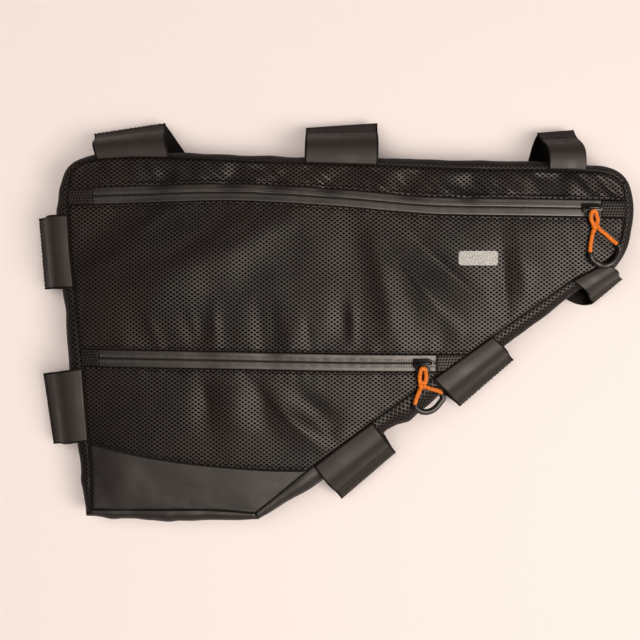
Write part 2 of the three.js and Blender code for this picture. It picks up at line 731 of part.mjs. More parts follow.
// Round bar along a route
function bar(points, diameter, sides, steps) {
  const section = new THREE.Shape();
  for (let side = 0; side < sides; side += 1) {
    const angle = (side / sides) * 2 * Math.PI;
    const [x, y] = [(Math.cos(angle) * diameter) / 2, (Math.sin(angle) * diameter) / 2];
    if (side === 0) section.moveTo(x, y);
    else section.lineTo(x, y);
  }
  section.closePath();
  const path = new THREE.CatmullRomCurve3(points, false, "centripetal");
  const settings = { steps, curveSegments: 1, bevelEnabled: false, extrudePath: path };
  return new THREE.ExtrudeGeometry(section, settings);
}

// Height of the ring's bar above the slider's seat: the cord passes under it
const ringBarLift = zipDrop + cordDiameter + ringWire / 2 + seamGap;

// A slider and the wire ring that its cord hangs on, in the slider's own frame
function sliderGeometry() {
  const [length, width, nose] = [sliderLength / 2, sliderWidth / 2, sliderNose / 2];
  const outline = new THREE.Shape();
  outline.moveTo(-length, -width);
  outline.lineTo(length - sliderNose, -width);
  outline.lineTo(length, -nose);
  outline.lineTo(length, nose);
  outline.lineTo(length - sliderNose, width);
  outline.lineTo(-length, width);
  outline.closePath();
  const plate = new THREE.ExtrudeGeometry(outline, { depth: sliderWall, bevelEnabled: false });
  const side = (across) => [
    new THREE.Vector3(across * ringWidth / 2, -ringRoot, sliderWall / 2),
    new THREE.Vector3(across * ringWidth / 2, -ringElbow, sliderWall + ringWire),
    new THREE.Vector3(across * ringWidth / 2, ringWire - ringReach, ringBarLift),
    new THREE.Vector3(across * (ringWidth / 2 - ringWire), -ringReach, ringBarLift),
  ];
  const ring = bar([...side(-1), ...side(1).reverse()], ringWire, 6, 14);
  return joined([plate, ring]);
}

function addSlider(name, pull, line, x) {
  const y = line(x);
  const ends = [-sliderLength / 2, 0, sliderLength / 2];
  const sides = [-sliderWidth / 2, 0, sliderWidth / 2];
  const below = ends.flatMap((dx) => sides.map((dy) => tapeHeight(x + dx, y + dy)));
  const seat = Math.max(...below) + seamGap;
  const slider = addPiece(`${name}_slider`, "metal", sliderGeometry());
  slider.position.set(x, y, seat);
  const pointAt = (place, diameter, above) => {
    const at = [x + place.x, y + place.y];
    const cloth = restHeight(...at, diameter / 2);
    const height = above ? Math.max(seat + place.up, cloth + diameter / 2 + clothRoom) : cloth + place.up;
    return new THREE.Vector3(...at, height);
  };
  const route = (places, diameter, above) => places.map((place) => pointAt(place, diameter, above));
  const knotAt = pointAt(pull.knot, knotWidth, false);
  const knot = new THREE.SphereGeometry(0.5, 8, 6);
  knot.rotateX(Math.PI / 2);
  knot.scale(knotLength, knotWidth, knotHeight);
  knot.rotateZ(THREE.MathUtils.degToRad(pull.knot.turn));
  knot.translate(knotAt.x, knotAt.y, knotAt.z);
  const strands = pull.legs.map((leg) => bar(route(leg, cordDiameter, false), cordDiameter, 8, 6));
  const loop = bar(route(pull.loop, cordDiameter, true), cordDiameter, 8, 18);
  addPiece(`${name}_pull_cord`, "cord", joined([loop, knot, ...strands]));
  addPiece(`${name}_pull_grip`, "grip", bar(route(pull.grip, gripDiameter, false), gripDiameter, 8, 16));
}
addSlider("upper", upperPull, upperZipLine, upperZip.to - sliderLength / 2);
addSlider("lower", lowerPull, lowerZipLine, lowerZip.to - sliderLength / 2 - lowerSliderBack);

// A strap: the front leg comes from the front seam, the back leg from the back seam, and their
// ends are pressed together
const strapColumns = 2;
const runAt = (line, place) =>
  line[Math.min(place + 1, line.length - 1)].clone().sub(line[Math.max(place - 1, 0)]);
function strapLegs(strap) {
  const middle = seam.getPointAt(strap.at);
  const outward = normalAt(seam, strap.at);
  const alongDir = new THREE.Vector2(outward.y, -outward.x);
  const legs = { front: [], back: [] };
  for (let column = 0; column <= strapColumns; column += 1) {
    const part = column / strapColumns;
    const along = (part - 0.5) * strap.width;
    const reach = strapReach * THREE.MathUtils.lerp(strap.first, strap.last, part);
    const foot = edgePoint(seam, strap.at + along / seamLength, strapClear);
    const backFoot = edgePoint(
      seam,
      strap.at + (along + strap.back * strap.width) / seamLength,
      strapClear,
    );
    const tip = new THREE.Vector2(middle.x, middle.y)
      .addScaledVector(alongDir, along + strap.tip * strap.width)
      .addScaledVector(outward, reach);
    const height = seamHeight(foot.x, foot.y);
    const frontLine = legRows.map((row) => {
      const plan = foot.clone().lerp(tip, row.out);
      const lowest = shoulderHeight(plan.x, plan.y, strapWall) + clothRoom + strapWall / 2;
      return new THREE.Vector3(plan.x, plan.y, Math.max(row.front * height, lowest));
    });
    const backLine = legRows.map((row, place) => {
      const plan = backFoot.clone().lerp(tip, row.out);
      const run = runAt(frontLine, place);
      const upright = run.length() / Math.hypot(run.x, run.y);
      const pressed = frontLine[place].z - (strapWall + seamGap) * upright;
      return new THREE.Vector3(plan.x, plan.y, THREE.MathUtils.lerp(strapWall / 2, pressed, row.back));
    });
    legs.front.push(frontLine);
    legs.back.push(backLine);
  }
  return legs;
}

// Tape of a strap's thickness about a grid of middle points
function tapeAround(lines) {
  const faces = { over: [], under: [] };
  for (const line of lines) {
    const normals = line.map((point, place) => {
      const run = runAt(line, place);
      const flat = Math.hypot(run.x, run.y);
      return new THREE.Vector3(-run.x * run.z, -run.y * run.z, flat * flat).normalize();
    });
    const offset = (by) => line.map((point, place) => point.clone().addScaledVector(normals[place], by));
    faces.over.push(offset(strapWall / 2));
    faces.under.push(offset(-strapWall / 2));
  }
  return slab(faces.over, faces.under);
}
for (const strap of strapRows) {
  const legs = strapLegs(strap);
  addPiece(`strap_${strap.name}_front`, "tape", tapeAround(legs.front));
  addPiece(`strap_${strap.name}_back`, "hook", tapeAround(legs.back));
}

// The origin is under the middle of the bag, on the floor, the loose pulls not counted
const body = new THREE.Box3();
for (const mesh of group.children) {
  mesh.updateMatrixWorld(true);
  if (!mesh.name.includes("_pull_")) body.expandByObject(mesh, true);
}
const centre = body.getCenter(new THREE.Vector3());
group.position.set(-centre.x, -centre.y, -body.min.z);

export default group;
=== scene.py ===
import math
import bmesh
import bpy
import numpy as np
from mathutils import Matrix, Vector, noise


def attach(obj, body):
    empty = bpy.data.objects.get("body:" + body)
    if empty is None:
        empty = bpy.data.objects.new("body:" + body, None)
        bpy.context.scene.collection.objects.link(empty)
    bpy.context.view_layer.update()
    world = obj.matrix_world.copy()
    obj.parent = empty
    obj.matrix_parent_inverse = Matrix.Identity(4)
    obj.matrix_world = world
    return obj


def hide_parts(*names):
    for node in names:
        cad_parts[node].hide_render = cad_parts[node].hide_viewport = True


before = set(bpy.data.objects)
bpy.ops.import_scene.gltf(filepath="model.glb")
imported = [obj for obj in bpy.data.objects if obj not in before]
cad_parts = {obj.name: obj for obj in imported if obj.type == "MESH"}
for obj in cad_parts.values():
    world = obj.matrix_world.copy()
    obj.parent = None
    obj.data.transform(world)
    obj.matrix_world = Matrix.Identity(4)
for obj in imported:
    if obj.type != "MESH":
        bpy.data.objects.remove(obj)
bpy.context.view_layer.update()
print("frame loaded:", len(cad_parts), "solids")

# Sizes in millimetres, in the plan of the bag: X along it, Y up the bicycle, Z off the floor
bag = {
    "length": 415.0, "height": 264.0, "depth": 40.0, "crown": 8.0, "crownReach": 38.0,
    "foldRise": 5.0, "foldFade": 16.0, "swell": 14.0, "cloth": 1.2, "gap": 0.3,
    "seatCorner": 0.247, "noseCorner": 0.634, "guardStart": 0.912,
    "toFrame": (-197.957, -143.212, 0.0),  # from the plan to the middle of the part
}
toFrame = np.array(bag["toFrame"])

# Camera over the photo's middle, looking straight down
view = {"middle": (-0.01083, 0.00081), "above": 0.84, "lens": 60.8}
camera = bpy.data.objects.new("camera", bpy.data.cameras.new("camera"))
camera.data.lens = view["lens"]
camera.data.sensor_width = 36
camera.location = (*view["middle"], view["above"])
bpy.context.collection.objects.link(camera)
bpy.context.scene.camera = camera
bpy.context.scene.view_settings.view_transform = "Standard"

# Floor, lights and the pale surroundings
studio = {
    "floorSize": 6.0, "floorHeight": -0.0004, "floorColour": (0.9, 0.81, 0.79), "floorRough": 0.75,
    "skyColour": (1.0, 0.95, 0.9), "sky": 0.12,
    # name, place, size, power, colour, lights what is matt, shows in what shines
    "lamps": [
        ("keyLamp", (1.4, -0.7, 2.2), 1.4, 34, (1.0, 0.93, 0.87), True, False),
        ("shineLamp", (0.64, -0.28, 1.2), 0.95, 86, (1.0, 0.87, 0.76), False, True),
        ("fillLamp", (-0.9, 0.2, 1.9), 1.8, 15, (1.0, 0.93, 0.87), True, False),
        ("topLamp", (-0.1, 0.0, 2.4), 2.0, 19, (1.0, 0.93, 0.87), True, False),
    ],
}


def plainMaterial(name, colour, roughness):
    material = bpy.data.materials.new(name)
    material.use_nodes = True
    shader = material.node_tree.nodes["Principled BSDF"]
    shader.inputs["Base Color"].default_value = (*colour, 1)
    shader.inputs["Roughness"].default_value = roughness
    return material


floorMesh = bpy.data.meshes.new("floor")
half = studio["floorSize"] / 2
corners = [(-half, -half), (half, -half), (half, half), (-half, half)]
floorMesh.from_pydata([(x, y, studio["floorHeight"]) for x, y in corners], [], [(0, 1, 2, 3)])
floor = bpy.data.objects.new("floor", floorMesh)
floorMesh.materials.append(plainMaterial("paleFloor", studio["floorColour"], studio["floorRough"]))
bpy.context.collection.objects.link(floor)
world = bpy.data.worlds.new("studio")
bpy.context.scene.world = world
world.use_nodes = True
world.node_tree.nodes["Background"].inputs["Color"].default_value = (*studio["skyColour"], 1)
world.node_tree.nodes["Background"].inputs["Strength"].default_value = studio["sky"]
for name, place, size, power, colour, lights, shines in studio["lamps"]:
    lamp = bpy.data.lights.new(name, "AREA")
    lamp.shape, lamp.size, lamp.energy, lamp.color = "DISK", size, power, colour
    lampObject = bpy.data.objects.new(name, lamp)
    lampObject.location = place
    lampObject.visible_diffuse, lampObject.visible_glossy = lights, shines
    lampObject.rotation_euler = (-Vector(place)).to_track_quat("-Z", "Y").to_euler()
    bpy.context.collection.objects.link(lampObject)
print("camera, floor and lights are set")


class Nodes:  # short way to add nodes and join them

    def __init__(self, tree):
        self.tree = tree

    def add(self, kind, links=None, **settings):
        node = self.tree.nodes.new(kind)
        for key, value in settings.items():
            setattr(node, key, value)
        for key, value in (links or {}).items():
            socket = node.inputs[key]
            if isinstance(value, bpy.types.NodeSocket):
                self.tree.links.new(value, socket)
            elif hasattr(socket, "default_value"):
                socket.default_value = value
        return node

    def math(self, operation, first, second=0.0, third=0.0):
        return self.add("ShaderNodeMath", {0: first, 1: second, 2: third}, operation=operation).outputs[0]

    def scaleOf(self, size):  # a texture's scale from the size of its features
        return self.math("DIVIDE", 1.0, size)

    def spread(self, value, low, high, start=0.0, end=1.0, soft=False):
        kind = "SMOOTHSTEP" if soft else "LINEAR"
        given = {0: value, 1: low, 2: high, 3: start, 4: end}
        return self.add("ShaderNodeMapRange", given, interpolation_type=kind).outputs[0]

    def mix(self, share, first, second):
        node = self.add("ShaderNodeMix", data_type="RGBA")
        for socket, value in ((node.inputs[0], share), (node.inputs[6], first), (node.inputs[7], second)):
            if isinstance(value, bpy.types.NodeSocket):
                self.tree.links.new(value, socket)
            else:
                socket.default_value = value if isinstance(value, (int, float)) else (*value, 1)
        return node.outputs[2]


def shaderGroup(name, sizes, outputs):  # every group works on a vector and on named sizes in metres
    tree = bpy.data.node_groups.new(name, "ShaderNodeTree")
    tree.interface.new_socket(name="Vector", in_out="INPUT", socket_type="NodeSocketVector")
    for label, value in sizes.items():
        socket = tree.interface.new_socket(name=label, in_out="INPUT", socket_type="NodeSocketFloat")
        socket.default_value = value
    for label in outputs:
        tree.interface.new_socket(name=label, in_out="OUTPUT", socket_type="NodeSocketFloat")
    nodes = Nodes(tree)
    return tree, nodes, nodes.add("NodeGroupInput").outputs, nodes.add("NodeGroupOutput").inputs


# In the weave, where a raised thread starts, how many fine threads a cell has, and their share of
# the rise. Then the noise that counts as light, as dust and as worn, and the rise of the two grains
weaveShape = {"threadFrom": 0.52, "fineThreads": 6, "fineRise": 0.08}
ageShape = {"tone": (0.3, 0.7), "dust": (0.7, 0.78)}
grainShape = {"crease": 1.6, "pebble": 0.35, "worn": (0.42, 0.66), "distortion": 0.4}


def diamondWeaveGroup():  # raised threads that cross in diamonds, with a finer weave between them
    sizes = {"Cell Width": 0.004, "Cell Height": 0.003}
    tree, n, given, put = shaderGroup("diamondWeave", sizes, ["Thread", "Height"])
    split = n.add("ShaderNodeSeparateXYZ", {0: given["Vector"]})
    x = n.math("DIVIDE", split.outputs[0], given["Cell Width"])
    y = n.math("DIVIDE", split.outputs[1], given["Cell Height"])
    ridges = []
    for operation in ("ADD", "SUBTRACT"):
        diagonal = n.math(operation, x, y)
        ridges.append(n.math("MULTIPLY", n.math("PINGPONG", diagonal, 0.5), 2.0))
    ridge = n.math("MAXIMUM", *ridges)
    thread = n.spread(ridge, weaveShape["threadFrom"], 1.0, soft=True)
    fine = 2 * math.pi * weaveShape["fineThreads"]
    waves = [n.math("SINE", n.math("MULTIPLY", value, fine)) for value in (x, y)]
    height = n.math("MULTIPLY_ADD", n.math("MULTIPLY", *waves), weaveShape["fineRise"], thread)
    tree.links.new(thread, put["Thread"])
    tree.links.new(height, put["Height"])
    return tree


def clothAgeGroup():  # slow unevenness of tone and specks of dust
    tree, n, given, put = shaderGroup("clothAge", {"Patch": 0.05, "Speck": 0.002}, ["Tone", "Dust"])
    vector, patch, spot = given["Vector"], n.scaleOf(given["Patch"]), n.scaleOf(given["Speck"])
    slow = n.add("ShaderNodeTexNoise", {"Vector": vector, "Scale": patch, "Detail": 4.0})
    speck = n.add("ShaderNodeTexNoise", {"Vector": vector, "Scale": spot, "Detail": 2.0})
    tree.links.new(n.spread(slow.outputs[0], *ageShape["tone"]), put["Tone"])
    tree.links.new(n.spread(speck.outputs[0], *ageShape["dust"]), put["Dust"])
    return tree


def fineGrainGroup():  # pebbled skin of coated cloth, rubber and moulded tape
    tree, n, given, put = shaderGroup("fineGrain", {"Grain": 0.0008, "Crease": 0.012}, ["Height", "Worn"])
    vector, skin, wave = given["Vector"], n.scaleOf(given["Grain"]), n.scaleOf(given["Crease"])
    pebble = n.add("ShaderNodeTexVoronoi", {"Vector": vector, "Scale": skin})
    settings = {"Vector": vector, "Scale": wave, "Detail": 5.0, "Distortion": grainShape["distortion"]}
    crease = n.add("ShaderNodeTexNoise", settings)
    pebbleRise = n.math("MULTIPLY", pebble.outputs[0], grainShape["pebble"])
    height = n.math("MULTIPLY_ADD", crease.outputs[0], grainShape["crease"], pebbleRise)
    tree.links.new(height, put["Height"])
    tree.links.new(n.spread(crease.outputs[0], *grainShape["worn"]), put["Worn"])
    return tree


diamondWeave, clothAge, fineGrain = diamondWeaveGroup(), clothAgeGroup(), fineGrainGroup()
# The dust's colour, then for each kind of cloth the sizes of its unevenness and how far its tone spreads
clothLook = {
    "dust": (0.22, 0.2, 0.18),
    "ripstopAge": {"Patch": 0.06, "Speck": 0.0022}, "ripstopTone": (0.35, 1.15),
    "coatedAge": {"Patch": 0.07, "Speck": 0.0018}, "coatedTone": (0.4, 1.0),
    "ribbedGrain": {"Grain": 0.0007, "Crease": 0.01}, "ribbedTone": (0.7, 1.0), "ribbedRise": 0.2,
    "printTone": (0.82, 1.0), "printEdge": 0.0001,
}


def useGroup(n, group, vector, values):  # a group placed in a material, with its sizes set
    node = n.add("ShaderNodeGroup", node_tree=group)
    n.tree.links.new(vector, node.inputs["Vector"])
    for key, value in values.items():
        node.inputs[key].default_value = value
    return node.outputs


# A material with its shader, the cloth's own coordinates and those of the part
def newMaterial(name, values):
    material = bpy.data.materials.new(name)
    material.use_nodes = True
    material.diffuse_color = (*values["light"], 1)
    n = Nodes(material.node_tree)
    shader = material.node_tree.nodes["Principled BSDF"]
    shader.inputs["Specular IOR Level"].default_value = values["specular"]
    own = n.add("ShaderNodeUVMap", uv_map="cloth").outputs[0]
    part = n.add("ShaderNodeTexCoord").outputs["Object"]
    return material, n, shader, own, part


def dusted(n, age, values, colour):  # the colour with specks of dust on it
    return n.mix(n.math("MULTIPLY", age["Dust"], values["dust"]), colour, clothLook["dust"])


def finishMaterial(n, shader, values, colour, roughness, height):  # joins them to the shader
    n.tree.links.new(colour, shader.inputs["Base Color"])
    n.tree.links.new(roughness, shader.inputs["Roughness"])
    given = {"Height": height, "Strength": values["bump"], "Distance": values["relief"]}
    node = n.add("ShaderNodeBump", given)
    n.tree.links.new(node.outputs[0], shader.inputs["Normal"])


def ripstopMaterial(name, values):
    material, n, shader, own, part = newMaterial(name, values)
    width, height = values["cell"]
    weave = useGroup(n, diamondWeave, own, {"Cell Width": width, "Cell Height": height})
    age = useGroup(n, clothAge, part, clothLook["ripstopAge"])
    # Colour follows the weave: lighter on the raised threads and near black in the pits, partly the weave's
    # pattern and partly painted sheen on the threads and painted shade in the pits
    share = n.math("MULTIPLY", weave["Thread"], n.spread(age["Tone"], 0, 1, *clothLook["ripstopTone"]))
    colour = dusted(n, age, values, n.mix(share, values["dark"], values["light"]))
    if "patch" in values:  # a plain reflective bar, printed on the cloth
        mark, edge = values["patch"], clothLook["printEdge"]
        split = n.add("ShaderNodeSeparateXYZ", {0: part})
        sides = []
        for axis, middle, halfSize in ((0, mark["x"], mark["width"] / 2), (1, mark["y"], mark["height"] / 2)):
            away = n.math("ABSOLUTE", n.math("SUBTRACT", split.outputs[axis], middle))
            sides.append(n.math("MAXIMUM", n.math("SUBTRACT", away, halfSize - mark["round"]), 0.0))
        corner = n.math("SQRT", n.math("ADD", n.math("POWER", sides[0], 2), n.math("POWER", sides[1], 2)))
        printed = n.spread(corner, mark["round"] - edge, mark["round"] + edge, 1.0, 0.0)
        cover = n.spread(weave["Thread"], 0, 1, *clothLook["printTone"])
        colour = n.mix(n.math("MULTIPLY", printed, cover), colour, mark["colour"])
    roughness = n.spread(weave["Thread"], 0, 1, values["pitRough"], values["threadRough"])
    shader.inputs["Coat Roughness"].default_value = values["coatRough"]
    n.tree.links.new(n.math("MULTIPLY", weave["Thread"], values["coat"]), shader.inputs["Coat Weight"])
    finishMaterial(n, shader, values, colour, roughness, weave["Height"])
    return material


def coatedMaterial(name, values):
    material, n, shader, own, part = newMaterial(name, values)
    grain = useGroup(n, fineGrain, own, {"Grain": values["grain"], "Crease": values["crease"]})
    age = useGroup(n, clothAge, part, clothLook["coatedAge"])
    share = n.math("MULTIPLY", grain["Worn"], n.spread(age["Tone"], 0, 1, *clothLook["coatedTone"]))
    colour = dusted(n, age, values, n.mix(share, values["dark"], values["light"]))
    roughness = n.spread(grain["Worn"], 0, 1, *values["rough"])
    finishMaterial(n, shader, values, colour, roughness, grain["Height"])
    return material


def ribbedMaterial(name, values):  # tape or cord with a rib every few tenths of a millimetre
    material, n, shader, own, _ = newMaterial(name, values)
    split = n.add("ShaderNodeSeparateXYZ", {0: own})
    ribs = []
    for axis, slant in values["ribs"]:
        along = n.math("MULTIPLY_ADD", split.outputs[1 - axis], slant, split.outputs[axis])
        wave = n.math("PINGPONG", n.math("DIVIDE", along, values["pitch"]), 0.5)
        ribs.append(n.math("MULTIPLY", wave, 2.0))
    rib = ribs[0] if len(ribs) == 1 else n.math("MAXIMUM", *ribs)
    grain = useGroup(n, fineGrain, own, clothLook["ribbedGrain"])
    share = n.math("MULTIPLY", rib, n.spread(grain["Worn"], 0, 1, *clothLook["ribbedTone"]))
    colour = n.mix(share, values["dark"], values["light"])
    height = n.math("MULTIPLY_ADD", grain["Height"], clothLook["ribbedRise"], rib)
    finishMaterial(n, shader, values, colour, n.spread(rib, 0, 1, *values["rough"]), height)
    return material


# Colours, sizes in metres, and how matt or bright each finish is
finishes = {
    # In the ripstops, light is the raised threads' colour and dark the pits': painted sheen and painted shade
    # over the weave's pattern
    "ripstopFront": {
        "dark": (0.0005, 0.00025, 0.00015), "light": (0.05, 0.0336, 0.0273), "dust": 0.0,
        "cell": (0.00435, 0.0031), "bump": 1.0, "relief": 0.0007,
        "pitRough": 0.85, "threadRough": 0.38, "specular": 0.06, "coat": 0.36, "coatRough": 0.5,
        "patch": {
            "x": 0.1056, "y": 0.0463, "width": 0.029, "height": 0.0105, "round": 0.0022,
            "colour": (0.72, 0.69, 0.65),
        },
    },
    # A darker copy of the front's ripstop, with a finer weave, for the side cloth: its lower tone is painted
    # shade of the sides
    "ripstopSide": {
        "dark": (0.0008, 0.0005, 0.0004), "light": (0.039, 0.027, 0.0225), "dust": 0.1,
        "cell": (0.0036, 0.0026), "bump": 0.9, "relief": 0.0005,
        "pitRough": 0.8, "threadRough": 0.42, "specular": 0.06, "coat": 0.26, "coatRough": 0.5,
    },
    "coatedCloth": {
        "dark": (0.0075, 0.0052, 0.0044), "light": (0.0108, 0.0076, 0.0064), "dust": 0.1,
        "grain": 0.0009, "crease": 0.014, "bump": 0.2, "relief": 0.0004,
        "rough": (0.62, 0.56), "specular": 0.29,
    },
    "strapTape": {
        "dark": (0.026, 0.0192, 0.0165), "light": (0.035, 0.026, 0.0224), "dust": 0.05,
        "grain": 0.0007, "crease": 0.02, "bump": 0.3, "relief": 0.0003,
        "rough": (0.6, 0.5), "specular": 0.14,
    },
    "zipTeeth": {
        "dark": (0.008, 0.0058, 0.005), "light": (0.016, 0.0118, 0.0098), "dust": 0.0,
        "grain": 0.0005, "crease": 0.01, "bump": 0.2, "relief": 0.0002,
        "rough": (0.5, 0.4), "specular": 0.3,
    },
    "pullGrip": {
        "dark": (0.008, 0.0062, 0.0055), "light": (0.014, 0.0108, 0.0096), "dust": 0.1,
        "grain": 0.0006, "crease": 0.02, "bump": 0.12, "relief": 0.0002,
        "rough": (0.48, 0.4), "specular": 0.2,
    },
    "blackEnamel": {
        "dark": (0.004, 0.003, 0.0027), "light": (0.007, 0.0055, 0.005), "dust": 0.0,
        "grain": 0.0015, "crease": 0.01, "bump": 0.05, "relief": 0.0001,
        "rough": (0.38, 0.3), "specular": 0.15,
    },
    "thread": {
        "dark": (0.0008, 0.0005, 0.0004), "light": (0.003, 0.0022, 0.002), "dust": 0.0,
        "grain": 0.0004, "crease": 0.004, "bump": 0.4, "relief": 0.0001,
        "rough": (0.7, 0.55), "specular": 0.06,
    },
    # ribs: the axis they repeat along and their slant
    "hookTape": {
        "dark": (0.0008, 0.0005, 0.0004), "light": (0.004, 0.0028, 0.0024), "pitch": 0.0012,
        "ribs": [(0, 0), (1, 0)], "bump": 0.6, "relief": 0.0006, "rough": (0.9, 0.8), "specular": 0.1,
    },
    "zipTape": {
        "dark": (0.0085, 0.006, 0.005), "light": (0.0155, 0.011, 0.0092), "pitch": 0.0011,
        "ribs": [(0, 0)], "bump": 0.2, "relief": 0.00012, "rough": (0.55, 0.42), "specular": 0.33,
    },
    "pullCord": {
        "dark": (0.62, 0.11, 0.003), "light": (1.0, 0.265, 0.013), "pitch": 0.0016,
        "ribs": [(0, 0.8), (0, -0.8)], "bump": 0.7, "relief": 0.0003, "rough": (0.75, 0.6), "specular": 0.15,
    },
}
materials = {}
for name, values in finishes.items():
    make = ripstopMaterial if "cell" in values else coatedMaterial if "grain" in values else ribbedMaterial
    materials[name] = make(name, values)
print("materials made:", len(materials))


# A smooth mesh from plan points in millimetres, whose faces all have the same number of corners
def meshObject(name, points, faces, finish, uvs):
    points, faces = np.asarray(points, float), np.asarray(faces, np.int64)
    a, b, c = (points[faces[:, k]] for k in (0, 1, 2))
    d = points[faces[:, -1]]
    volume = np.einsum("ij,ij->i", a, np.cross(b, c)).sum() + np.einsum("ij,ij->i", a, np.cross(c, d)).sum()
    if volume < 0:
        faces = faces[:, ::-1]
    mesh = bpy.data.meshes.new(name)
    mesh.vertices.add(len(points))
    mesh.vertices.foreach_set("co", ((points + toFrame) * 0.001).astype(np.float32).ravel())
    mesh.loops.add(faces.size)
    mesh.loops.foreach_set("vertex_index", faces.astype(np.int32).ravel())
    mesh.polygons.add(len(faces))
    mesh.polygons.foreach_set("loop_start", np.arange(0, faces.size, faces.shape[1], dtype=np.int32))
    mesh.update(calc_edges=True)
    mesh.polygons.foreach_set("use_smooth", np.ones(len(faces), bool))
    layer = mesh.uv_layers.new(name="cloth")
    layer.data.foreach_set("uv", (np.asarray(uvs, float) * 0.001)[faces.ravel()].astype(np.float32).ravel())
    mesh.validate()
    mesh.materials.append(materials[finish])
    made = bpy.data.objects.new(name, mesh)
    bpy.context.collection.objects.link(made)
    return made


def gridFaces(rows, columns, start=0, closed=False, looped=False):  # closed joins columns, looped rows
    index = start + np.arange(rows * columns).reshape(rows, columns)
    if looped:
        index = np.vstack([index, index[:1]])
    if closed:
        index = np.hstack([index, index[:, :1]])
    corners = (index[:-1, :-1], index[:-1, 1:], index[1:, 1:], index[1:, :-1])
    return np.stack([corner.ravel() for corner in corners], axis=1)


def slab(name, outer, inner, finish, uvs):  # a closed sheet between two grids of points
    rows, columns = outer.shape[:2]
    count = rows * columns
    index = np.arange(count).reshape(rows, columns)
    rim = np.concatenate([index[0, :-1], index[:-1, -1], index[-1, :0:-1], index[:0:-1, 0]])
    following = np.roll(rim, -1)
    walls = np.stack([rim, rim + count, following + count, following], axis=1)
    faces = np.vstack([gridFaces(rows, columns), gridFaces(rows, columns, count)[:, ::-1], walls])
    points = np.vstack([outer.reshape(-1, 3), inner.reshape(-1, 3)])
    flat = uvs.reshape(-1, 2)
    return meshObject(name, points, faces, finish, np.vstack([flat, flat]))


def smoothRoute(points, spans=12):  # centripetal curve through points, any number of axes
    points = np.asarray(points, float)
    padded = np.vstack([2 * points[0] - points[1], points, 2 * points[-1] - points[-2]])
    parts = []
    steps = (np.arange(spans) / spans)[:, None]
    for p0, p1, p2, p3 in zip(padded, padded[1:], padded[2:], padded[3:]):
        d0, d1, d2 = (max(np.linalg.norm(q - p), 1e-9) ** 0.5 for p, q in ((p0, p1), (p1, p2), (p2, p3)))
        m1 = ((p1 - p0) / d0 - (p2 - p0) / (d0 + d1) + (p2 - p1) / d1) * d1
        m2 = ((p2 - p1) / d1 - (p3 - p1) / (d1 + d2) + (p3 - p2) / d2) * d1
        square = -3 * p1 + 3 * p2 - 2 * m1 - m2
        cube = 2 * p1 - 2 * p2 + m1 + m2
        parts.append(p1 + m1 * steps + square * steps**2 + cube * steps**3)
    parts.append(points[-1:])
    return np.vstack(parts)


def evenly(route, spacing):  # the same route with points at equal distances
    run = np.concatenate([[0], np.cumsum(np.linalg.norm(np.diff(route, axis=0), axis=1))])
    at = np.linspace(0, run[-1], max(2, int(round(run[-1] / spacing)) + 1))
    return np.stack([np.interp(at, run, route[:, axis]) for axis in range(route.shape[1])], axis=1)


# A round bar along a route, whose ends are rounded over by the lip
def tube(name, route, radius, sides, finish, closed=False, lip=0.0):
    route = np.asarray(route, float)
    ahead, behind = np.roll(route, -1, axis=0), np.roll(route, 1, axis=0)
    if not closed:
        ahead[-1], behind[0] = route[-1], route[0]
    tangents = ahead - behind
    tangents /= np.linalg.norm(tangents, axis=1)[:, None]
    normal = np.cross(tangents[0], (0.0, 0.0, 1.0))
    if np.linalg.norm(normal) < 0.1:
        normal = np.cross(tangents[0], (0.0, 1.0, 0.0))
    rings, uvs = [], []
    angles = np.arange(sides) * 2 * math.pi / sides
    run = np.concatenate([[0], np.cumsum(np.linalg.norm(np.diff(route, axis=0), axis=1))])
    stations = [(k, 0.0, 1.0) for k in range(len(route))]
    if not closed:
        turns = [math.pi / 2 * share for share in (1.0, 0.75, 0.5, 0.25)]
        ends = [(lip * math.sin(turn), 1 - (1 - math.cos(turn)) * lip / radius) for turn in turns]
        first = [(0, -out, size) for out, size in ends]
        stations = first + stations + [(len(route) - 1, out, size) for out, size in reversed(ends)]
    for k, out, size in stations:
        normal = normal - tangents[k] * np.dot(normal, tangents[k])
        normal /= np.linalg.norm(normal)
        across = np.cross(tangents[k], normal)
        circle = np.outer(np.cos(angles), normal) + np.outer(np.sin(angles), across)
        rings.append(route[k] + tangents[k] * out + circle * radius * size)
        uvs.append(np.stack([np.full(sides, run[k] + out), angles * radius], axis=1))
    rows = len(rings)
    points, flat = np.vstack(rings), np.vstack(uvs)
    faces = gridFaces(rows, sides, closed=True, looped=closed)
    if not closed:
        caps = []
        for ring, turned in ((0, True), (rows - 1, False)):
            middle = len(points)
            points = np.vstack([points, points[ring * sides : (ring + 1) * sides].mean(axis=0)])
            flat = np.vstack([flat, flat[ring * sides]])
            for side in range(0, sides, 2):
                a, b, c = (ring * sides + (side + step) % sides for step in range(3))
                caps.append((middle, c, b, a) if turned else (middle, a, b, c))
        faces = np.vstack([faces, caps])
    return meshObject(name, points, faces, finish, flat)


def dress(piece, slotName, *nodes):  # the piece stands for its solids and rides on the body
    if nodes:
        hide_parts(*nodes)
    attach(piece, "root")


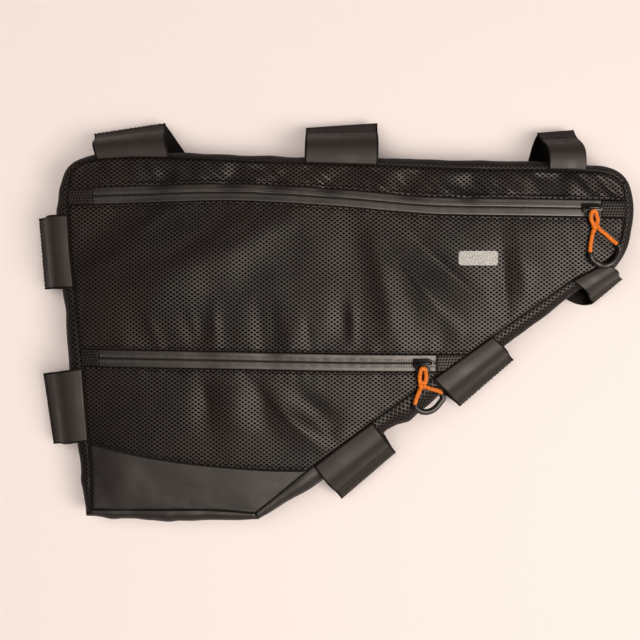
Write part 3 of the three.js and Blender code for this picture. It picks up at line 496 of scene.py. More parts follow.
# Places in plan millimetres. Each strand starts on the slider's wire, runs through the knot and
# down one leg, and the grip joins the ends of the two legs
pulls = {
    "upper": {
        "seat": (388.54, 226.79, 41.4),
        "knot": (390.2, 213.2, 44.2), "turn": -80,
        "strands": [
            [
                (388.1, 224.3, 46.9), (386.9, 223.3, 46.9), (386.3, 221.0, 46.3), (386.6, 217.6, 45.7),
                (388.0, 214.9, 45.0), (389.7, 212.8, 44.3), (388.6, 209.4, 43.4), (387.2, 203.2, 43.25),
                (386.45, 197.6, 43.2), (386.34, 193.3, 43.19),
            ],
            [
                (388.1, 224.3, 46.9), (389.5, 223.4, 46.6), (390.5, 221.0, 45.6), (391.4, 217.8, 45.1),
                (391.1, 215.2, 44.6), (391.2, 212.7, 43.9), (393.6, 210.6, 42.9), (397.4, 207.9, 42.0),
                (402.14, 203.89, 41.14), (406.5, 200.35, 40.8),
            ],
        ],
        "grip": [
            (386.34, 193.2, 43.1), (386.64, 190.99, 43.4), (388.24, 188.19, 43.25), (392.14, 185.39, 43.29),
            (397.34, 184.09, 41.5), (403.34, 186.49, 41.01), (407.74, 192.19, 39.7), (409.04, 196.79, 39.13),
            (407.3, 199.7, 40.6),
        ],
    },
    "lower": {
        "seat": (263.53, 111.99, 43.09),
        "knot": (262.6, 96.1, 44.6), "turn": -88,
        "strands": [
            [
                (262.9, 108.9, 48.4), (261.5, 107.8, 48.3), (260.7, 105.2, 47.4), (260.4, 101.4, 46.7),
                (260.8, 98.2, 45.6), (262.0, 95.7, 44.7), (260.7, 92.2, 43.0), (259.2, 88.2, 41.9),
                (258.1, 84.9, 41.3), (257.53, 81.6, 41.0),
            ],
            [
                (262.9, 108.9, 48.4), (264.3, 107.8, 48.0), (264.9, 104.8, 46.7), (265.2, 101.2, 46.0),
                (264.6, 98.2, 45.2), (264.0, 95.8, 44.3), (266.3, 94.2, 42.4), (269.6, 93.1, 41.0),
                (273.5, 91.9, 39.6), (276.2, 90.9, 38.2), (277.4, 89.4, 37.3),
            ],
        ],
        "grip": [
            (257.45, 81.3, 41.0), (258.13, 79.19, 40.25), (261.53, 76.59, 38.82), (266.73, 75.79, 37.58),
            (272.13, 77.99, 37), (276.33, 82.59, 36.8), (278.53, 86.19, 36.9), (277.5, 88.9, 36.7),
        ],
    },
}
pullSizes = {
    "cord": 3.1, "cordStep": 0.7, "cordLip": 0.3, "grip": 4.5, "gripStep": 0.8, "gripLip": 0.5,
    "knot": (6.8, 6.4, 5.6), "knotPoints": 90, "squeeze": 0.93023,
}
cordLengths = {}


def knotRoute(middle, turn):  # a closed overhand knot, as long and wide as the real one
    t = np.linspace(0, 2 * math.pi, pullSizes["knotPoints"], endpoint=False)
    shape = np.stack([np.sin(t) + 2 * np.sin(2 * t), np.cos(t) - 2 * np.cos(2 * t), -np.sin(3 * t)], axis=1)
    room = np.array(pullSizes["knot"]) - pullSizes["cord"]
    shape = shape / (shape.max(axis=0) - shape.min(axis=0)) * room
    c, s = math.cos(math.radians(turn)), math.sin(math.radians(turn))
    return shape @ np.array([[c, s, 0], [-s, c, 0], [0, 0, 1]]) + np.array(middle)


for which, pull in pulls.items():
    cordRadius, lip = pullSizes["cord"] / 2, pullSizes["cordLip"]
    route = knotRoute(pull["knot"], pull["turn"])
    knot = tube(f"{which}Knot", route, cordRadius * pullSizes["squeeze"], 12, "pullCord", closed=True)
    dress(knot, "pull_cord")
    route = evenly(smoothRoute(pull["grip"]), pullSizes["gripStep"])
    grip = tube(f"{which}Grip", route, pullSizes["grip"] / 2, 20, "pullGrip", lip=pullSizes["gripLip"])
    dress(grip, "pull_grip", f"{which}_pull_grip")
    for number, strand in enumerate(pull["strands"]):
        route = evenly(smoothRoute(strand), pullSizes["cordStep"])
        cord = tube(f"{which}Cord{number + 1}", route, cordRadius, 14, "pullCord", lip=lip)
        dress(cord, "pull_cord", *([f"{which}_pull_cord"] if number == 0 else []))
        path = (route + toFrame) * 0.001
        length = float(np.linalg.norm(np.diff(path, axis=0), axis=1).sum())
        cordLengths[f"{which}Cord{number + 1}"] = round(length, 4)
print("pull cords made, lengths in metres:", cordLengths)


# The seam round the front, its base and the lines across it, as shares of the length and the height
seamRows = [
    (0.039, 0.008), (0.038, 0.16), (0.034, 0.23), (0.026, 0.42), (0.0143, 0.602), (0.0045, 0.738),
    (0, 0.864), (0.001, 0.92), (0.01, 0.968), (0.045, 0.994), (0.182, 1), (0.305, 0.991),
    (0.553, 0.979), (0.742, 0.968), (0.925, 0.965), (0.972, 0.955), (0.993, 0.929), (1, 0.871),
    (0.997, 0.81), (0.986, 0.75), (0.965, 0.708), (0.91, 0.663), (0.859, 0.609), (0.66, 0.388),
    (0.462, 0.162), (0.356, 0.026), (0.334, 0),
]
baseRows = [(0.334, 0), (0.25, 0.0087), (0.15, 0.0087), (0.039, 0.008)]
upperZipRows = [
    (0, 0.891), (0.15, 0.898), (0.3, 0.903), (0.47, 0.889), (0.61, 0.87), (0.7, 0.8635), (1, 0.858),
]
lowerZipRows = [(0, 0.4405), (0.25, 0.434), (0.5, 0.4263), (0.72, 0.4233)]
guardRows = [(0.03, 0.199), (0.08, 0.1825), (0.15, 0.16), (0.243, 0.14), (0.35, 0.126), (0.44, 0.122)]
# How far the side cloth swells out along the seam and the base, as a share of the most
seamSwell = [
    (0, 0.45), (0.022, 0.72), (0.05, 0.84), (0.1, 0.95), (0.15, 0.86), (0.215, 0.86), (0.25, 0.46),
    (0.33, 0.46), (0.41, 0.52), (0.5, 0.6), (0.57, 0.64), (0.61, 0.48), (0.65, 0.64), (0.69, 0.66),
    (0.75, 0.8), (0.8, 0.96), (0.842, 0.98), (0.856, 1.2), (0.874, 1.2), (0.89, 0.95), (0.94, 1.08),
    (0.97, 0.77), (1, 0.48),
]
baseSwell = [(0, 0.48), (0.12, 0.62), (0.3, 0.78), (0.7, 0.7), (0.92, 0.58), (1, 0.45)]
# Where the bag lies lower: x, y, reach as shares, and the share of the depth that is lost
sagRows = [(0.04, 0.01, 0.16, 0.16), (1, 0.87, 0.14, 0.1), (0, 1, 0.1, 0.06), (0.33, 0, 0.12, 0.1)]
# Broad folds, as shares: x, y, half length, half width; then turn in degrees and rise
foldRows = [
    (0.65, 0.6, 0.107, 0.026, -46, 0.6), (0.515, 0.645, 0.09, 0.032, -80, -0.3),
    (0.22, 0.7, 0.16, 0.07, 22, 0.7), (0.665, 0.7, 0.1, 0.022, -45, -0.5),
    (0.779, 0.643, 0.07, 0.024, -88, -0.25), (0.82, 0.7, 0.07, 0.03, -80, 0.4),
    (0.237, 0.505, 0.03, 0.022, -70, -0.55), (0.358, 0.52, 0.045, 0.022, -85, -0.6),
    (0.495, 0.53, 0.04, 0.02, -80, -0.5), (0.0766, 0.81, 0.08, 0.04, 40, -0.6),
    (0.444, 0.2875, 0.06, 0.021, -40, -0.6), (0.408, 0.25, 0.06, 0.025, -40, 0.5),
    (0.348, 0.31, 0.04, 0.021, -66, -0.6), (0.248, 0.31, 0.05, 0.021, -85, -0.5),
    (0.3, 0.293, 0.05, 0.03, -80, 0.35), (0.091, 0.111, 0.06, 0.04, -57, 0.2),
    (0.148, 0.12, 0.06, 0.04, -50, -0.15), (0.17, 0.945, 0.027, 0.018, 35, -0.5),
    (0.29, 0.943, 0.027, 0.018, 35, -0.5), (0.376, 0.94, 0.027, 0.018, 35, -0.5),
    (0.469, 0.935, 0.027, 0.018, 40, -0.5), (0.604, 0.925, 0.027, 0.018, -40, -0.5),
    (0.708, 0.92, 0.027, 0.018, -60, -0.5),
]
# Narrow tucks and wrinkles in millimetres: x, y, half length, half width, turn, rise
tuckRows = [
    (64, 139, 10, 3.4, -68, 0.6), (95, 139, 12, 3.8, -75, 0.8), (110, 142, 14, 4, -88, 0.8),
    (148, 141, 16, 4.4, -84, 0.9), (211, 142, 17, 4, -88, 1.2), (178, 136, 9, 3, -80, -0.5),
    (234, 172, 46, 9, -77, 2.3), (113, 192, 78, 14, 28, 1.9), (32, 188, 30, 6, 26, 1.0),
    (61, 214, 28, 5, 34, 0.7), (122, 212, 26, 5, 40, 0.6), (322, 178, 34, 7, -88, -0.7),
    (246, 182, 26, 3, -52, -0.5), (284, 178, 34, 3, -43, -0.6), (300, 192, 30, 2.6, -44, -0.45),
    (262, 168, 24, 3.2, -50, 0.5), (324, 172, 26, 3, -84, -0.6), (336, 182, 26, 4, -82, 0.5),
    (150, 82, 18, 3.5, -52, -0.6), (166, 70, 24, 3, -42, 0.6), (104, 84, 12, 3, -78, -0.5),
    (188, 64, 22, 3, -40, -0.5), (70, 232, 10, 2.6, 40, -0.5), (120, 249, 9, 2.8, 45, -0.4),
    (156, 248, 9, 2.8, 40, -0.4), (195, 247, 8, 2.6, 42, -0.35), (251, 245, 9, 2.6, -44, -0.6),
    (294, 242, 8, 2, -55, -0.7), (230, 243, 8, 2.2, -60, 0.5), (330, 240, 9, 2.4, 70, -0.4),
    (86, 196, 30, 5, 34, -0.5), (58, 176, 26, 5, 40, 0.4), (96, 34, 26, 5, 8, 0.12),
    (60, 16, 20, 5, -62, 0.2), (92, 20, 8, 3, -10, -0.2), (40, 30, 16, 5, -60, 0.12),
    (386, 212, 14, 3, -60, 0.4), (372, 196, 20, 3, -70, -0.4), (396, 204, 12, 2.5, -40, -0.4),
]


class Outline:  # a seam curve, read by share of its length

    spans = 48  # points between two places of the table

    def __init__(self, rows):
        self.points = smoothRoute(np.array(rows) * (bag["length"], bag["height"]), self.spans)
        run = np.concatenate([[0], np.cumsum(np.linalg.norm(np.diff(self.points, axis=0), axis=1))])
        self.length = run[-1]
        self.shares = run / run[-1]
        tangents = np.gradient(self.points, axis=0)
        tangents /= np.linalg.norm(tangents, axis=1)[:, None]
        self.normals = np.stack([-tangents[:, 1], tangents[:, 0]], axis=1)

    def read(self, table, share):
        share = np.clip(share, 0, 1)
        return np.stack([np.interp(share, self.shares, table[:, axis]) for axis in (0, 1)], axis=-1)

    def at(self, share, out=0.0):
        return self.read(self.points, share) + self.read(self.normals, share) * np.asarray(out)[..., None]

    def normal(self, share):
        found = self.read(self.normals, share)
        return found / np.linalg.norm(found, axis=-1, keepdims=True)


seam, base = Outline(seamRows), Outline(baseRows)


def mitred(first, second):  # outward direction where two lines meet at a corner
    return (first + second) / (1 + np.dot(first, second))


def lineOf(rows, spans=12):  # height of a line across the front at any x, in millimetres
    rows = np.array(rows, float)
    last = len(rows) - 1
    fine = []
    for place in np.linspace(0, last, len(rows) * spans + 1):
        k = min(int(place), last)
        t = place - k
        p0, p1, p2, p3 = (rows[min(max(k + step, 0), last)] for step in (-1, 0, 1, 2))
        v0, v1 = (p2 - p0) / 2, (p3 - p1) / 2
        cube, square = 2 * p1 - 2 * p2 + v0 + v1, -3 * p1 + 3 * p2 - 2 * v0 - v1
        fine.append(cube * t**3 + square * t**2 + v0 * t + p1)
    fine = np.array(fine)
    return lambda x: bag["height"] * np.interp(np.asarray(x) / bag["length"], fine[:, 0], fine[:, 1])


upperZipLine, lowerZipLine, guardLine = lineOf(upperZipRows), lineOf(lowerZipRows), lineOf(guardRows)
# The whole outline as points, all at about the same distance
outlineCount = {"seam": 900, "base": 180}
seamShares = np.linspace(0, 1, outlineCount["seam"], endpoint=False)
baseShares = np.linspace(0, 1, outlineCount["base"], endpoint=False)
outline = np.vstack([seam.at(seamShares), base.at(baseShares)])
outlineNormals = np.vstack([seam.normal(seamShares), base.normal(baseShares)])
chunk = 3000  # places that are worked out at a time


# Distance outside the outline, negative inside, and the number of its nearest point
def nearestOutline(x, y):
    places = np.stack([np.ravel(x), np.ravel(y)], axis=1)
    distances, numbers = np.empty(len(places)), np.empty(len(places), int)
    for start in range(0, len(places), chunk):
        part = places[start : start + chunk]
        away = part[:, None, :] - outline[None]
        squares = (away**2).sum(axis=2)
        nearest, rows = squares.argmin(axis=1), np.arange(len(part))
        outside = (away[rows, nearest] * outlineNormals[nearest]).sum(axis=1) > 0
        distances[start : start + chunk] = np.where(outside, 1, -1) * np.sqrt(squares[rows, nearest])
        numbers[start : start + chunk] = nearest
    return distances, numbers


def insideBy(x, y):  # distance inside the seam, negative outside
    return -nearestOutline(x, y)[0].reshape(np.shape(x))


# How softly the slopes from two sides meet, in millimetres. The sums are what one straight side
# alone gives at each distance, which the real outline is measured against
crownBlend = 9.0
outlineSteps = np.linalg.norm(np.roll(outline, -1, axis=0) - np.roll(outline, 1, axis=0), axis=1) / 2
straightRuns = np.linspace(0, 160, 161)
alongRun = np.linspace(-200, 200, 801)
straightSums = [0.5 * np.exp((d - np.hypot(d, alongRun)) / crownBlend).sum() for d in straightRuns]


def insideSoftly(x, y):  # distance inside the seam, without a crease where two sides are as near
    places = np.stack([np.ravel(x), np.ravel(y)], axis=1)
    result = np.empty(len(places))
    for start in range(0, len(places), chunk):
        part = places[start : start + chunk]
        away = np.sqrt(((part[:, None, :] - outline[None]) ** 2).sum(axis=2))
        nearest = away.min(axis=1)
        sums = (np.exp((nearest[:, None] - away) / crownBlend) * outlineSteps).sum(axis=1)
        usual = np.interp(nearest, straightRuns, straightSums)
        result[start : start + chunk] = nearest - crownBlend * np.log(sums / usual)
    return np.maximum(result.reshape(np.shape(x)), 0)


def seamHeight(x, y):
    drop = 0
    for atX, atY, reach, depth in sagRows:
        away = np.hypot(x - atX * bag["length"], y - atY * bag["height"])
        drop = drop + depth * np.exp(-((away / (reach * bag["length"])) ** 2))
    return bag["depth"] * (1 - drop)


def foldsAt(x, y, rows, scaleX, scaleY):
    total = np.zeros(np.shape(x))
    for atX, atY, along, across, turn, rise in rows:
        c, s = math.cos(math.radians(turn)), math.sin(math.radians(turn))
        dx, dy = x - atX * scaleX, y - atY * scaleY
        a, b = (dx * c + dy * s) / (along * scaleX), (dy * c - dx * s) / (across * scaleX)
        total += rise * np.exp(-a * a - b * b)
    return total


def softStep(value, low, high):
    t = np.clip((value - low) / (high - low), 0, 1)
    return t * t * (3 - 2 * t)


def noiseAt(x, y, size, seed):
    flatX, flatY = np.ravel(x) / size, np.ravel(y) / size
    values = [noise.noise(Vector((a, b, seed))) for a, b in zip(flatX, flatY)]
    return np.array(values).reshape(np.shape(x))


zipper = {
    "width": 12.6, "slot": 0.26, "drop": 0.35, "dip": 0.1, "dipReach": 0.5, "tape": 1.0, "step": 1.3,
    "coilUnder": 0.55, "uneven": {"rise": 0.1, "size": 6, "seed": 2.7},
    "upperSeatTab": 18.5, "upperNoseTab": 18.5, "lowerSeatTab": 12.6, "lowerNoseTab": 5.0,
}
halfZip = zipper["width"] / 2


def frontHeight(x, y):  # broad form of the front, the same as its solids
    x, y = np.asarray(x, float), np.asarray(y, float)
    inside = np.maximum(insideBy(x, y), 0)
    fade = softStep(inside, 0, bag["foldFade"])
    folds = foldsAt(x, y, foldRows, bag["length"], bag["height"])
    crown = bag["crown"] * (1 - np.exp(-np.where(inside > 0, insideSoftly(x, y), 0) / bag["crownReach"]))
    return seamHeight(x, y) + crown + bag["foldRise"] * folds * fade


# Rises and sizes in millimetres, and seeds. Along the zips and the seam the cloth is drawn up, over
# the upper zip it crumples, and over the lower zip it falls in upright folds
wrinkle = {
    "tucks": 1.25, "drawn": 0.9, "drawnReach": 6, "zip": {"size": 7.5, "seeds": (3.1, 8.7)},
    "seam": {"size": 8, "seed": 5.5}, "topStrip": {"rise": 3.2, "size": 10, "seed": 4.4},
    "overLowerZip": {"rise": 1.5, "size": 15, "seed": 9.1, "reach": 26},
    "slow": {"rise": 1.3, "size": 42, "seed": 1.3}, "small": {"rise": 0.3, "size": 16, "seed": 6.2},
}


def wrinkles(x, y):  # narrow tucks, drawn up cloth and slow unevenness
    inside, reach = np.maximum(insideBy(x, y), 0), wrinkle["drawnReach"]
    tucks = foldsAt(x, y, tuckRows, 1, 1) * softStep(inside, 1, 8)
    drawn = np.zeros(np.shape(x))
    for line, seed in zip((upperZipLine, lowerZipLine), wrinkle["zip"]["seeds"]):
        away = np.abs(y - line(x)) - halfZip
        ripple = noiseAt(x, away * 0.25, wrinkle["zip"]["size"], seed)
        drawn += ripple * np.exp(-np.maximum(away, 0) / reach) * softStep(away, 0, 2)
    ripple = noiseAt(x, y, wrinkle["seam"]["size"], wrinkle["seam"]["seed"])
    drawn += ripple * np.exp(-inside / reach) * softStep(inside, 1, 3)
    strip = wrinkle["topStrip"]
    share = softStep(y - upperZipLine(x) - halfZip, 0, 5) * softStep(inside, 1, 6)
    drawn += strip["rise"] * share * noiseAt(x + 0.8 * y, y * 0.5, strip["size"], strip["seed"])
    over, above = wrinkle["overLowerZip"], y - lowerZipLine(x) - halfZip
    share = softStep(above, 0, 5) * np.exp(-np.maximum(above, 0) / over["reach"])
    drawn += over["rise"] * share * noiseAt(x, y * 0.3, over["size"], over["seed"])
    total = wrinkle["tucks"] * tucks + wrinkle["drawn"] * drawn
    for wave in (wrinkle["slow"], wrinkle["small"]):
        total = total + wave["rise"] * noiseAt(x, y, wave["size"], wave["seed"])
    return total


# The edges of a panel, as rows of distance, half width and rise: one folded over and stitched
# beside a zip or a guard, and one sewn into the seam
panel = {"step": 1.35, "backStep": 4.0, "stitchIn": 2.1, "thin": 0.8, "sewn": [(0, 1.0, -1.5)]}
panel["turned"] = [(0, 0.55, -0.8), (1.0, 0.9, 0.25), (panel["stitchIn"], 0.5, -0.35)]
inset = -bag["gap"] / 2


def crossing(line, offset, low, high):  # share of the seam where it meets a line
    shares = np.linspace(low, high, 4000)
    places = seam.at(shares)
    gaps = places[:, 1] - line(places[:, 0]) - offset
    k = int(np.nonzero(np.diff(np.sign(gaps)))[0][0])
    return shares[k] - gaps[k] * (shares[k + 1] - shares[k]) / (gaps[k + 1] - gaps[k])


def acrossFront(line, offset):  # a line across the front and where it meets the seam
    seat = crossing(line, offset, 0, bag["seatCorner"])
    nose = crossing(line, offset, bag["noseCorner"], 1)
    fromX, toX = seam.at(seat, inset)[0], seam.at(nose, inset)[0]
    return {"line": line, "offset": offset, "seat": seat, "nose": nose, "fromX": fromX, "toX": toX}


def lineSide(edge, part, fromX=None, toX=None):
    x = np.interp(part, [0, 1], [fromX or edge["fromX"], toX or edge["toX"]])
    return np.stack([x, edge["line"](x) + edge["offset"]], axis=-1)


def seamSide(start, end, part):
    return seam.at(start + (end - start) * part, np.full(len(part), inset))


def finePlaces(length, step):  # places from 0 to 1, closer together at both ends
    ends = np.array([0, 0.25, 0.6, 1.0, 1.5, 2.1, 2.8, 3.7])
    ends = ends[ends < length * 0.45]
    rest = max(2, int(round((length - 2 * ends[-1]) / step)))
    middle = np.linspace(ends[-1], length - ends[-1], rest + 1)
    return np.unique(np.concatenate([ends, middle, length - ends])) / length


# Plan points of a panel between its four sides, with their distances from its edges
def patchGrid(top, bottom, seat, nose, step):
    probe = np.linspace(0, 1, 60)
    lengthOf = lambda side: np.linalg.norm(np.diff(side(probe), axis=0), axis=1).sum()
    wide, high = (lengthOf(top) + lengthOf(bottom)) / 2, (lengthOf(seat) + lengthOf(nose)) / 2
    over, down = finePlaces(wide, step), finePlaces(high, step)
    o, d = over[None, :, None], down[:, None, None]
    t, b, s, e = top(over)[None], bottom(over)[None], seat(down)[:, None], nose(down)[:, None]
    ends = np.array([0.0, 1.0])
    (t0, t1), (b0, b1) = top(ends), bottom(ends)
    grid = t * (1 - d) + b * d + s * (1 - o) + e * o
    grid = grid - t0 * (1 - o) * (1 - d) - t1 * o * (1 - d) - b0 * (1 - o) * d - b1 * o * d
    edges = {
        "top": np.broadcast_to(down[:, None] * high, grid.shape[:2]),
        "bottom": np.broadcast_to((1 - down[:, None]) * high, grid.shape[:2]),
        "seat": np.broadcast_to(over[None] * wide, grid.shape[:2]),
        "nose": np.broadcast_to((1 - over[None]) * wide, grid.shape[:2]),
    }
    return grid, edges


# A panel of the front; turned names its edges that are folded over and stitched
def frontPanel(name, finish, slotName, node, sides, turned, wave=1.0):
    grid, away = patchGrid(*sides, panel["step"])
    x, y = grid[..., 0], grid[..., 1]
    z = frontHeight(x, y) + wave * wrinkles(x, y)
    for side, distance in away.items():
        for place, half, rise in panel["turned" if side in turned else "sewn"]:
            z = z + rise * np.exp(-(((distance - place) / half) ** 2))
    outer = np.stack([x, y, z], axis=-1)
    inner = outer - (0, 0, bag["cloth"] * panel["thin"])
    dress(slab(name, outer, inner, finish, grid), slotName, node)


cutLines = {
    "upperZipTop": acrossFront(upperZipLine, halfZip + bag["gap"]),
    "upperZipBottom": acrossFront(upperZipLine, -halfZip - bag["gap"]),
    "lowerZipTop": acrossFront(lowerZipLine, halfZip + bag["gap"]),
    "lowerZipBottom": acrossFront(lowerZipLine, -halfZip - bag["gap"]),
    "guardTop": acrossFront(guardLine, bag["gap"] / 2),
    "guardBottom": acrossFront(guardLine, -bag["gap"] / 2),
}


def band(high, low):  # the four sides of a panel between two cut lines
    high, low = cutLines[high], cutLines[low]
    return (
        lambda part: lineSide(high, part),
        lambda part: lineSide(low, part),
        lambda part: seamSide(high["seat"], low["seat"], part),
        lambda part: seamSide(high["nose"], low["nose"], part),
    )


topLine, guardLow, guardHigh = cutLines["upperZipTop"], cutLines["guardBottom"], cutLines["guardTop"]
topSides = (
    lambda part: seamSide(bag["seatCorner"], bag["noseCorner"], part),
    lambda part: lineSide(topLine, part),
    lambda part: seamSide(bag["seatCorner"], topLine["seat"], part),
    lambda part: seamSide(bag["noseCorner"], topLine["nose"], part),
)
guardSides = (
    lambda part: lineSide(guardLow, part),
    lambda part: base.at(1 - part, np.full(len(part), inset)),
    lambda part: seamSide(guardLow["seat"], 0, part),
    lambda part: seamSide(guardLow["nose"], 1, part),
)
backSides = (
    lambda part: seamSide(bag["seatCorner"], bag["noseCorner"], part),
    lambda part: lineSide(guardHigh, part),
    lambda part: seamSide(bag["seatCorner"], guardHigh["seat"], part),
    lambda part: seamSide(bag["noseCorner"], guardHigh["nose"], part),
)
middleSides, lowerSides = band("upperZipBottom", "lowerZipTop"), band("lowerZipBottom", "guardTop")
frontPanel("upperPanel", "ripstopFront", "ripstop_cloth", "upper_panel", topSides, ("bottom",))
frontPanel("middlePanel", "ripstopFront", "ripstop_cloth", "middle_panel", middleSides, ("top", "bottom"))
frontPanel("lowerPanel", "ripstopFront", "ripstop_cloth", "lower_panel", lowerSides, ("top", "bottom"))
frontPanel("frontGuard", "coatedCloth", "coated_cloth", "front_guard", guardSides, (), wave=0.8)


# Dents in the back and how far its edge stands off the floor, over a reach inwards
backShape = {"dent": 0.25, "size": 20, "seed": 2.2, "edge": 0.5, "reach": 1.2}


def backSheet(name, finish, slotName, node, sides):  # nearly flat, because the bag lies on it
    grid, away = patchGrid(*sides, panel["backStep"])
    x, y = grid[..., 0], grid[..., 1]
    nearest = np.minimum.reduce(list(away.values()))
    dent = backShape["dent"] * (0.5 + 0.5 * noiseAt(x, y, backShape["size"], backShape["seed"]))
    dent = dent + backShape["edge"] * np.exp(-((nearest / backShape["reach"]) ** 2))
    under = np.stack([x, y, np.where(nearest > 0, dent, backShape["edge"])], axis=-1)
    over = np.stack([x, y, np.full(x.shape, bag["cloth"])], axis=-1)
    dress(slab(name, over, under, finish, grid), slotName, node)


backSheet("backPanel", "ripstopFront", "ripstop_cloth", "back_panel", backSides)
backSheet("backGuard", "coatedCloth", "coated_cloth", "back_guard", guardSides)
print("panels made")


sideCloth = {
    "step": 1.6, "cloth": 1.0, "backStep": 2.2, "tuckIn": 2.0, "backTuck": 3.0, "puckerReach": 0.22,
    "uneven": {"rise": 0.55, "size": 16, "seed": 4.4}, "small": {"rise": 0.25, "size": 5.5, "seed": 9.4},
    "flatFrom": 0.86, "rippleAt": 0.2, "rippleReach": 0.15, "under": 0.6,
}
# Its section from the front down to the back: share of the swell, share of the height
sectionRows = [(0.35, 0.945), (0.72, 0.85), (0.95, 0.66), (1, 0.46), (0.93, 0.28), (0.7, 0.14), (0.35, 0.085)]
# Puckers of the side cloth: curve, millimetres along it, half width, share down the section, rise
puckerRows = [
    ("seam", 20, 5, 0.3, 0.8), ("seam", 150, 7, 0.3, -0.9), ("seam", 232, 6, 0.3, -0.8),
    ("seam", 330, 8, 0.3, -0.7), ("seam", 420, 9, 0.25, -0.8), ("seam", 560, 8, 0.25, 0.7),
    ("seam", 640, 6, 0.25, -0.6), ("seam", 790, 12, 0.3, 0.9), ("seam", 905, 8, 0.3, -1.1),
    ("seam", 918, 5, 0.4, 0.9), ("seam", 930, 6, 0.3, -1.0), ("seam", 1010, 14, 0.3, 1.0),
    ("base", 38, 8, 0.3, -0.8), ("base", 66, 5, 0.35, 0.8), ("base", 90, 7, 0.3, -0.7),
    ("base", 108, 5, 0.35, 0.7),
]


def swellAt(which, share):
    rows = np.array(seamSwell if which == "seam" else baseSwell)
    return bag["swell"] * np.interp(share, rows[:, 0], rows[:, 1])


def gusset(name, which, start, end, finish, slotName, node):  # a length of side cloth
    curve, other = (seam, base) if which == "seam" else (base, seam)
    trim = bag["gap"] / 2 / curve.length
    shares = np.linspace(start + trim, end - trim, int((end - start) * curve.length / sideCloth["step"]) + 1)
    origin, outward = curve.at(shares), curve.normal(shares)
    for place, share, corner in ((0, start, 0), (-1, end, 1)):
        if share == corner:
            outward[place] = mitred(curve.normal(np.array([share]))[0], other.normals[corner - 1])
    height = seamHeight(origin[:, 0], origin[:, 1])
    swell = swellAt(which, shares)
    topZ, onBack = height - bag["cloth"] - bag["gap"], bag["cloth"] + bag["gap"]
    even = np.ones(len(shares))
    rows = [(-sideCloth["tuckIn"] * even, topZ - sideCloth["under"]), (0 * even, topZ - 0.5)]
    rows += [(out * swell, np.maximum(up * height, sideCloth["backStep"] + out)) for out, up in sectionRows]
    rows += [(0 * even, sideCloth["backStep"] * even), (-bag["gap"] * even, onBack * even)]
    rows += [(-sideCloth["backTuck"] * even, onBack * even)]
    profile = np.stack([np.stack(row, axis=-1) for row in rows])  # section, along, (out, up)
    fine = smoothRoute(profile.reshape(len(rows), -1), 5)
    fine = fine.reshape(len(fine), len(shares), 2)
    out, up = fine[..., 0], fine[..., 1]
    down = np.linspace(0, 1, len(fine))[:, None]
    run = shares * curve.length
    # puckers and unevenness across the section
    lift = np.zeros(out.shape)
    for curveName, along, wide, deep, rise in puckerRows:
        if curveName == which:
            away = ((run[None] - along) / wide) ** 2 + ((down - deep) / sideCloth["puckerReach"]) ** 2
            lift += rise * np.exp(-away)
    wide, flat = np.broadcast_to(run[None], out.shape), np.zeros(out.shape)
    big, small = sideCloth["uneven"], sideCloth["small"]
    uneven = big["rise"] * noiseAt(wide, down * 40 + flat, big["size"], big["seed"])
    nearSeam = (down - sideCloth["rippleAt"]) / sideCloth["rippleReach"]
    ripple = small["rise"] * np.exp(-(nearSeam**2))  # only near the front seam
    ripple = ripple * noiseAt(wide, down * 30 + flat, small["size"], small["seed"])
    lift += np.sin(np.pi * np.clip(down * 1.15 - 0.05, 0, 1)) * (uneven + ripple)
    lift = np.where(down > sideCloth["flatFrom"], 0, lift)
    runOut, runUp = np.gradient(out, axis=0), np.gradient(up, axis=0)
    size = np.maximum(np.hypot(runOut, runUp), 1e-6)
    normOut, normUp = -runUp / size, runOut / size
    out, up = out + normOut * lift, np.maximum(up + normUp * lift, onBack)
    inOut, inUp = out - normOut * sideCloth["cloth"], up - normUp * sideCloth["cloth"]

    def solid(outs, ups):
        plan = origin[None] + outward[None] * outs[..., None]
        return np.concatenate([plan, ups[..., None]], axis=-1)

    reach = np.concatenate([[0], np.cumsum(np.hypot(np.diff(out[:, 0]), np.diff(up[:, 0])))])
    uvs = np.stack(np.broadcast_arrays(run[None], reach[:, None]), axis=-1)
    dress(slab(name, solid(out, up), solid(inOut, inUp), finish, uvs), slotName, node)


seatCorner, noseCorner, guardStart = bag["seatCorner"], bag["noseCorner"], bag["guardStart"]
gusset("gussetSeat", "seam", 0, seatCorner, "ripstopSide", "ripstop_cloth", "gusset_seat")
gusset("gussetTop", "seam", seatCorner, noseCorner, "ripstopSide", "ripstop_cloth", "gusset_top")
gusset("gussetNose", "seam", noseCorner, guardStart, "ripstopSide", "ripstop_cloth", "gusset_nose")
gusset("gussetSlope", "seam", guardStart, 1, "coatedCloth", "coated_cloth", "gusset_slope")
gusset("gussetBase", "base", 0, 1, "coatedCloth", "coated_cloth", "gusset_base")
print("side cloth made")


